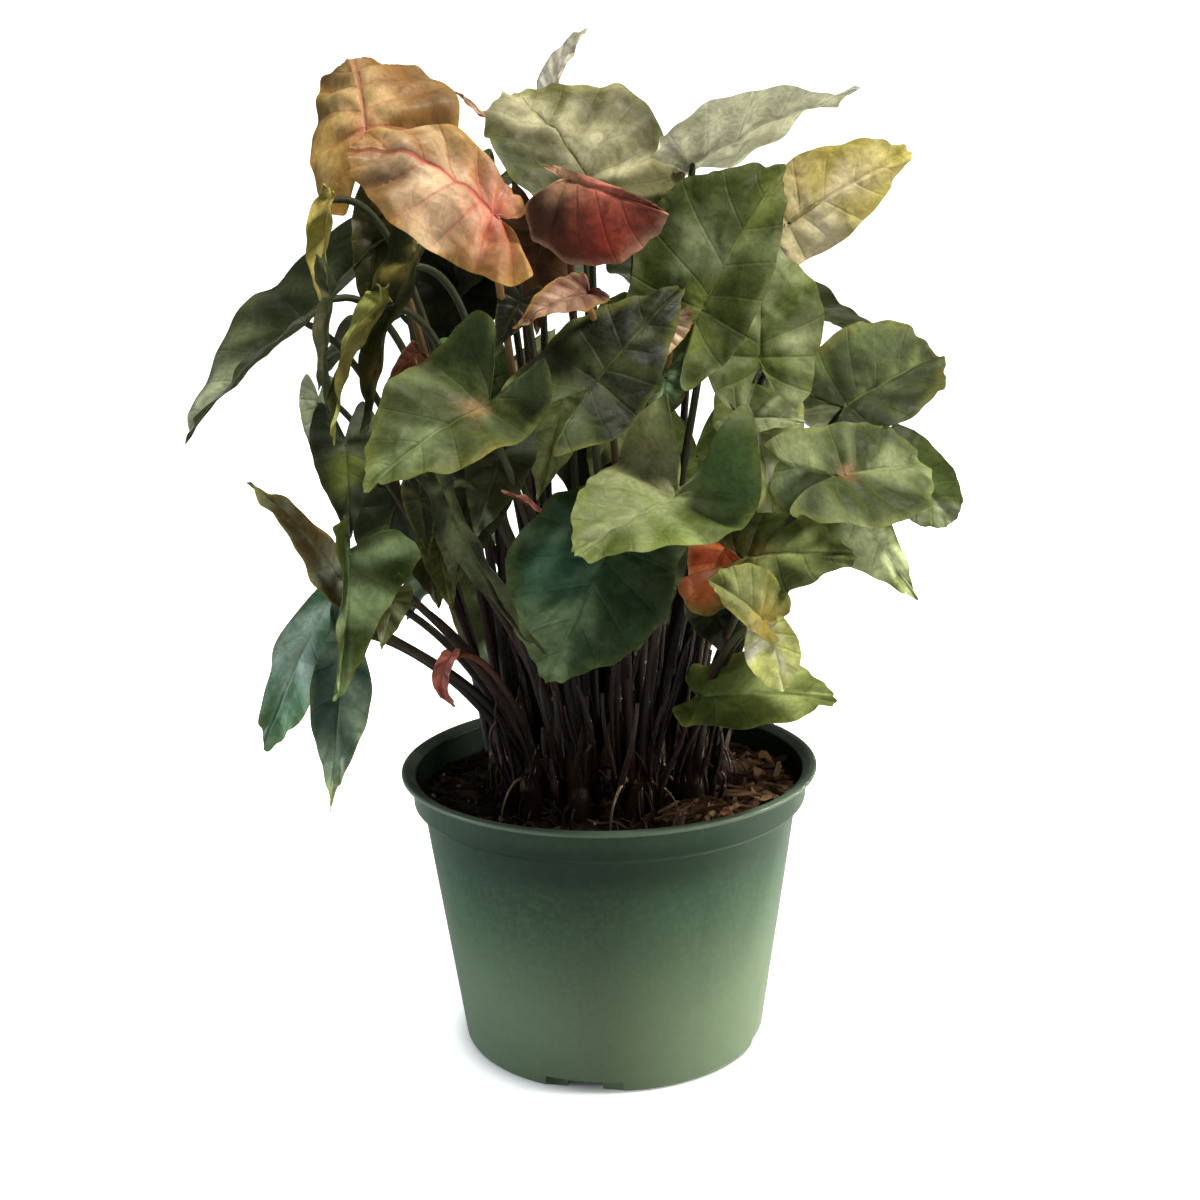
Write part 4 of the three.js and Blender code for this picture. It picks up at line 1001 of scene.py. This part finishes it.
def make_pot():
    shell = placed("shell", new_mesh("shell", *turned(pot_profile(), POT_SIDES)))
    face = BASE_RADIUS - NOTCH_DEPTH
    cutters = []
    for angle in NOTCH_ANGLES:
        cutters += [
            foot_block(angle, BASE_RADIUS + 4, NOTCH_DEPTH + 4, NOTCH_WIDTH, NOTCH_HEIGHT, NOTCH_DRAFT),
            foot_block(angle, face + 1, DRAIN_REACH, DRAIN_WIDTH, NOTCH_HEIGHT),
            foot_block(angle, face + 1 - DRAIN_REACH + DRAIN_SLOT, DRAIN_SLOT, DRAIN_WIDTH, FLOOR + 1),
        ]
    for cutter in cutters:
        cut = shell.modifiers.new("notch", "BOOLEAN")
        cut.operation, cut.solver, cut.object = "DIFFERENCE", "EXACT", cutter
    graph = bpy.context.evaluated_depsgraph_get()
    mesh = bpy.data.meshes.new_from_object(shell.evaluated_get(graph))
    for made in [shell, *cutters]:
        old = made.data
        bpy.data.objects.remove(made)
        bpy.data.meshes.remove(old)
    place = np.empty(len(mesh.vertices) * 3, np.float32)
    mesh.vertices.foreach_get("co", place)
    place = place.reshape(-1, 3)
    angle = np.arctan2(place[:, 1], place[:, 0])
    out = place[:, :2] / np.maximum(np.linalg.norm(place[:, :2], axis=1), 1)[:, None]
    sway = 0.25 * np.sin(2 * angle + 0.7) + 0.12 * np.sin(5 * angle + place[:, 2] * 0.03)
    place[:, :2] += out * (sway * smooth(place[:, 2], 8, 60))[:, None]
    mesh.vertices.foreach_set("co", (place * MM).astype(np.float32).ravel())
    mesh.name = "pot_shell"
    mesh.materials.clear()
    add_object("pot_shell", mesh, pot_material(), ["pot"], crease=40)
    mesh.update()


make_pot()


# ---------------------------------------------------------------- soil

FEET = np.array([foot for foot, _ in STEMS])
PEAT = [rgb(code) for code in ("1e1510", "2a1d15", "3a281c", "4b3423", "241a14")]
BARK = [rgb(code) for code in ("5a4030", "6d4f38", "47342a", "7c5d43", "3c2a20")]
DRY_BARK = [rgb(code) for code in ("8c6a4a", "a8835c", "6e5038", "b89670", "7c5a40")]
STRAW = [rgb(code) for code in ("6d573c", "8a7250", "54402b", "9c8460", "432f20")]


def soil_height(x, y):
    """The soil's surface: it swells and rises to the right as in the CAD source, and is rough."""
    x, y = np.ravel(x), np.ravel(y)
    edge = 1 - (np.hypot(x, y) / COLLAR_RADIUS) ** 6
    lump = np.sin(x * 0.23 + 1) * np.sin(y * 0.19) + 0.7 * np.sin(x * 0.41 - y * 0.33)
    place = np.column_stack([x, y])
    rough = 0.9 * lumps(place, 5, 1, 12) + 0.55 * lumps(place, 2.4, 2, 14)
    return SOIL_LEVEL + edge * (lump + MOUND_RISE * smooth(x, -10, 55)) + rough


def ground(x, y):
    return soil_height(x, y)[0]


def make_soil():
    rim = COLLAR_RADIUS - WALL - SOIL_GAP - 0.2
    radii = rim * np.linspace(0, 1, SOIL_RINGS + 1)[1:] ** 0.8
    surface = np.array([level_ring(radius, 0, SOIL_SIDES) for radius in radii])
    surface[..., 2] = soil_height(surface[..., 0], surface[..., 1]).reshape(surface.shape[:2])
    inside = -WALL - 0.8
    under = [(rim, STEP_HEIGHT + 1.2), (body_radius(STEP_HEIGHT) + inside, STEP_HEIGHT - 1.6),
             (body_radius(FLOOR) + inside, FLOOR + 0.6)]
    rings = np.concatenate([surface, [level_ring(radius, height, SOIL_SIDES) for radius, height in under]])
    points, faces = closed_rings(rings, (0, 0, ground(0, 0)), (0, 0, FLOOR + 0.6))
    body = Body()
    body.add(points, [f[:, ::-1] for f in faces], {})
    add_piece("soil_fill", body, peat_material(), ["soil"])


def chunk(centre, size, tint, seed, sides, rows):
    """A small broken lump: a squashed ball with pulled corners, turned at random."""
    r = np.random.default_rng(seed)
    tilt = np.linspace(-math.pi / 2, math.pi / 2, rows + 2)[1:-1]
    ball, faces = turned([(0, -1), *zip(np.cos(tilt), np.sin(tilt)), (0, 1)], sides)
    ball = np.sign(ball) * np.abs(ball) ** 0.7 * (1 + 0.22 * r.normal(size=(len(ball), 1)))
    local = ball * np.array(size) / 2
    spin = Matrix.Rotation(r.uniform(0, 6.28), 3, "Z") @ Matrix.Rotation(r.normal() * 0.35, 3, "X")
    spin = np.array(spin @ Matrix.Rotation(r.normal() * 0.35, 3, "Y"))
    colour = opaque(tint * (1 + 0.12 * r.normal()), len(ball))
    return local @ spin.T + centre, faces, dict(tint=colour, place=local[:, [2, 1, 0]] + seed * 11)


def rod(line, radius, sides, tint, length, seed, flat=1.0, fade=(1, 0)):
    """A thin tube for a Body. fade is the tint's share at its start, and how much that grows to its end."""
    points, faces, along, place = tube(line, radius, sides, (1, length, seed * 9), flat)
    colour = tint * (fade[0] + fade[1] * along[:, None])
    return points, faces, dict(tint=opaque(colour, len(points)), place=place)


def stem_near(x, y):
    return np.hypot(FEET[:, 0] - x, FEET[:, 1] - y).min() <= STEM_ROOM


def free_spot(reach):
    """A random place on the soil, up to a radius, where no stem stands."""
    while True:
        radius, turn = math.sqrt(rng.uniform(0, reach ** 2)), rng.uniform(0, 6.28)
        x, y = radius * math.cos(turn), radius * math.sin(turn)
        if not stem_near(x, y):
            return x, y


def scatter_all_over(body):
    """Crumbs, bark chips, perlite and straws all over the soil. Crumbs, chips and straws grow paler towards
    the right, partly as painted light from the right.
    """
    for k in range(CRUMBS):
        x, y = free_spot(75)
        size = rng.uniform(1.2, 4.2)
        shape = (size, size * rng.uniform(0.6, 1), size * rng.uniform(0.5, 0.9))
        # Paler towards the right: partly painted light.
        tint = PEAT[k % 5] * (1 + 1.2 * smooth(x, 0, 50))
        body.add(*chunk((x, y, ground(x, y) + size * 0.12), shape, tint, k, 6, 3))
    for k in range(BARK_CHIPS):
        x, y = free_spot(72)
        length = rng.uniform(4, 13)
        shape = (length, length * rng.uniform(0.2, 0.5), rng.uniform(1.0, 2.2))
        # Darker on the left and paler on the right: partly painted shade and painted light.
        tint = BARK[k % 5] * (0.6 + 1.1 * smooth(x, -5, 45))
        body.add(*chunk((x, y, ground(x, y) + 0.9), shape, tint, 2000 + k, 8, 4))
    for k in range(PERLITE):
        x, y = free_spot(72)
        size = rng.uniform(0.9, 2.0)
        body.add(*chunk((x, y, ground(x, y) + 0.6), (size, size, size * 0.8), rgb("c9bda6"), 4000 + k, 7, 4))
    for k in range(STRAWS):
        x, y = free_spot(70)
        turn, length = rng.uniform(0, 6.28), rng.uniform(6, 26)
        t = np.linspace(-0.5, 0.5, 9)
        bow = rng.normal() * 0.25
        aside = bow * t ** 2 * 4
        px = x + length * (t * math.cos(turn) - aside * math.sin(turn))
        py = y + length * (t * math.sin(turn) + aside * math.cos(turn))
        if np.hypot(px, py).max() >= 74:
            continue
        pz = soil_height(px, py) + 0.7 + rng.uniform(0, 1.2) * (1 - (2 * t) ** 2)
        radius = rng.uniform(0.18, 0.5)
        # Darker on the left and paler on the right: partly painted shade and painted light.
        tint = STRAW[k % 5] * rng.uniform(0.6, 1.1) * (0.6 + 0.8 * smooth(x, -5, 40))
        body.add(*rod(np.column_stack([px, py, pz]), radius, 5, tint, length, k))


def scatter_on_the_right(body):
    """Dry bark and a tuft of straw, which lie on the right, in front of the stems."""
    for k in range(DRY_CHIPS):
        x, y = rng.uniform(22, 68), rng.uniform(-52, 30)
        if math.hypot(x, y) > 71 or stem_near(x, y):
            continue
        length = rng.uniform(4, 13)
        z = ground(x, y) + rng.uniform(0.8, 2.2)
        shape = (length, length * rng.uniform(0.25, 0.6), rng.uniform(0.8, 1.8))
        body.add(*chunk((x, y, z), shape, DRY_BARK[k % 5] * rng.uniform(0.7, 1.9), 6000 + k, 8, 4))
    for k in range(TUFT_STRAWS):
        x, y = 37 + rng.normal() * 7, -38 + rng.normal() * 5
        turn, length = rng.uniform(-3.4, 0.9), rng.uniform(6, 17)
        end = np.array([x + length * math.cos(turn), y + length * math.sin(turn)])
        end *= min(1, 69 / np.hypot(*end))
        end = np.array([*end, ground(*end) + rng.uniform(0.6, 3.5)])
        top = np.array([x, y, ground(x, y) + rng.uniform(1, 7)])
        bow = (top + end) / 2 + rng.normal(size=3) * 1.5
        radius = rng.uniform(0.35, 1.0)
        tint = DRY_BARK[k % 5] * rng.uniform(0.5, 1.6)
        body.add(*rod(bezier(top, bow, bow, end, 9), radius, 5, tint, 14, k, flat=0.4))


def grow_roots(body):
    """Fine pale and dark roots that arch from the stems' feet into the soil in front."""
    for k in range(ROOTS):
        x, y = FEET[k % 10]
        turn = rng.uniform(-3.1, 0.3)
        away = np.array([math.cos(turn), math.sin(turn), 0])
        reach, height = rng.uniform(7, 20), rng.uniform(104, 124)
        a, d = np.array([(x, y, height) + 3.6 * away, (x, y, 0) + reach * away])
        if np.hypot(d[0], d[1]) > 72:
            continue
        d[2] = ground(d[0], d[1]) - 0.6
        b = a + away * reach * 0.5 + (0, 0, rng.uniform(-2, 3))
        c = d + (rng.normal() * 2, rng.normal() * 2, (height - d[2]) * 0.5)
        radius = np.linspace(0.7, 0.3, 12) * rng.uniform(0.5, 1.1)
        tint = rgb("35241a" if k % 4 else "7d6a4c") * rng.uniform(0.6, 1.1)
        body.add(*rod(bezier(a, b, c, d, 12), radius, 6, tint, reach * 2, k))


def grow_husks(body):
    """Dry stalks of old leaves, among the feet of the inner stems. Their near-black colour is partly their
    own and partly painted shade of the plant's dark inside.
    """
    inner = FEET[np.abs(FEET[:, 0]) < 38]
    for k in range(HUSKS):
        foot = inner[k % len(inner)]
        height, turn = rng.uniform(30, 92) - 0.7 * abs(foot[0]), rng.uniform(-0.2, 3.34)
        a = np.array([*(foot + rng.uniform(5.5, 8) * np.array([math.cos(turn), math.sin(turn)])), 99.0])
        lean = np.array([a[0] * height / 160, a[1] * height / 150 - height * 0.1, height])
        d = a + lean + rng.normal(size=3) * 4
        d[0] = np.clip(d[0], -42, 42)
        b, c = a + (0, 0, height * 0.35), d + (a - d) * 0.3 + rng.normal(size=3) * 4
        radius = np.linspace(1.6, 0.7, 14) * rng.uniform(0.7, 1.2)
        # Partly painted shade: near black, darker than dry stalks are.
        brown_and_shade = mix(rgb("0c0705"), rgb("1c110b"), rng.uniform(0, 1))
        body.add(*rod(bezier(a, b, c, d, 14), radius, 7, brown_and_shade, height, k, fade=(0.8, 0.5)))


make_soil()
scraps, roots, husks = Body(), Body(), Body()
scatter_all_over(scraps)
scatter_on_the_right(scraps)
add_piece("soil_scraps", scraps, scrap_material())
grow_roots(roots)
add_piece("fine_roots", roots, STALK)
grow_husks(husks)
add_piece("old_stalks", husks, STALK)


# ---------------------------------------------------------------- studio

def make_camera():
    """The photo's camera. Its pitch is downwards, and its roll leans the picture to the left."""
    data = bpy.data.cameras.new("camera")
    data.sensor_width, data.lens = 36, CAMERA_LENS
    data.clip_start, data.clip_end = 0.01, 50
    camera = placed("camera", data)
    pitch = Matrix.Rotation(math.radians(90 - CAMERA_PITCH), 4, "X")
    roll = Matrix.Rotation(math.radians(-CAMERA_ROLL), 4, "Z")
    camera.matrix_world = Matrix.Translation(CAMERA_PLACE) @ pitch @ roll
    bpy.context.scene.camera = camera


def area_light(name, place, target, size, watts, colour, spread=180):
    """A round light, its places and size in metres and its spread in degrees."""
    data = bpy.data.lights.new(name, "AREA")
    data.spread = math.radians(spread)
    data.shape, data.size, data.energy, data.color = "DISK", size, watts, colour
    light = placed(name, data)
    light.location = place
    light.rotation_euler = (Vector(target) - Vector(place)).to_track_quat("-Z", "Y").to_euler()


def make_studio():
    """A floor, a world that is bright to the camera and dim as a light, and the lights."""
    mesh = bpy.data.meshes.new("studio_floor")
    mesh.from_pydata([(x, y, -0.0005) for x, y in ((-6, -6), (6, -6), (6, 6), (-6, 6))], [], [(0, 1, 2, 3)])
    mesh.materials.append(floor_material())
    placed("studio_floor", mesh)
    world = bpy.data.worlds.new("studio")
    bpy.context.scene.world = world
    n = Nodes(world)
    lighting = n.node("ShaderNodeBackground", {"Color": (1, 1, 1), "Strength": 0.12})[0]
    seen = n.node("ShaderNodeBackground", {"Strength": 2})[0]
    to_camera = n.node("ShaderNodeLightPath")["Is Camera Ray"]
    both = n.node("ShaderNodeMixShader", {0: to_camera, 1: lighting, 2: seen})[0]
    n.put(n.tree.nodes["World Output"].inputs["Surface"], both)
    area_light("key", (0.6, -0.28, 1.6), (0, 0, 0.25), 0.35, 33, (1, 0.96, 0.88))
    area_light("side", (1.3, 0.1, 0.4), (0, 0, 0.12), 0.6, 14, (1, 0.95, 0.82))
    area_light("front", (0.3, -1.6, 0.5), (0, 0, 0.3), 0.9, 3, (1, 0.97, 0.92))
    area_light("fill", (-1.2, -0.6, 0.6), (0, 0, 0.2), 0.8, 2.5, (0.82, 0.92, 1))
    area_light("low_left", (-1.1, -0.1, 0.1), (0, 0, 0.06), 0.15, 0.14, (0.85, 0.95, 1), 14)
    area_light("low_right", (1.1, -0.15, 0.1), (0, 0, 0.07), 0.15, 0.27, (1, 0.97, 0.85), 14)
    area_light("top", (0, 0.4, 1.3), (0, 0, 0.3), 0.8, 3, (1, 0.97, 0.9))
    bpy.context.scene.view_settings.view_transform = "Standard"
    bpy.context.scene.view_settings.look = "None"


make_camera()
make_studio()
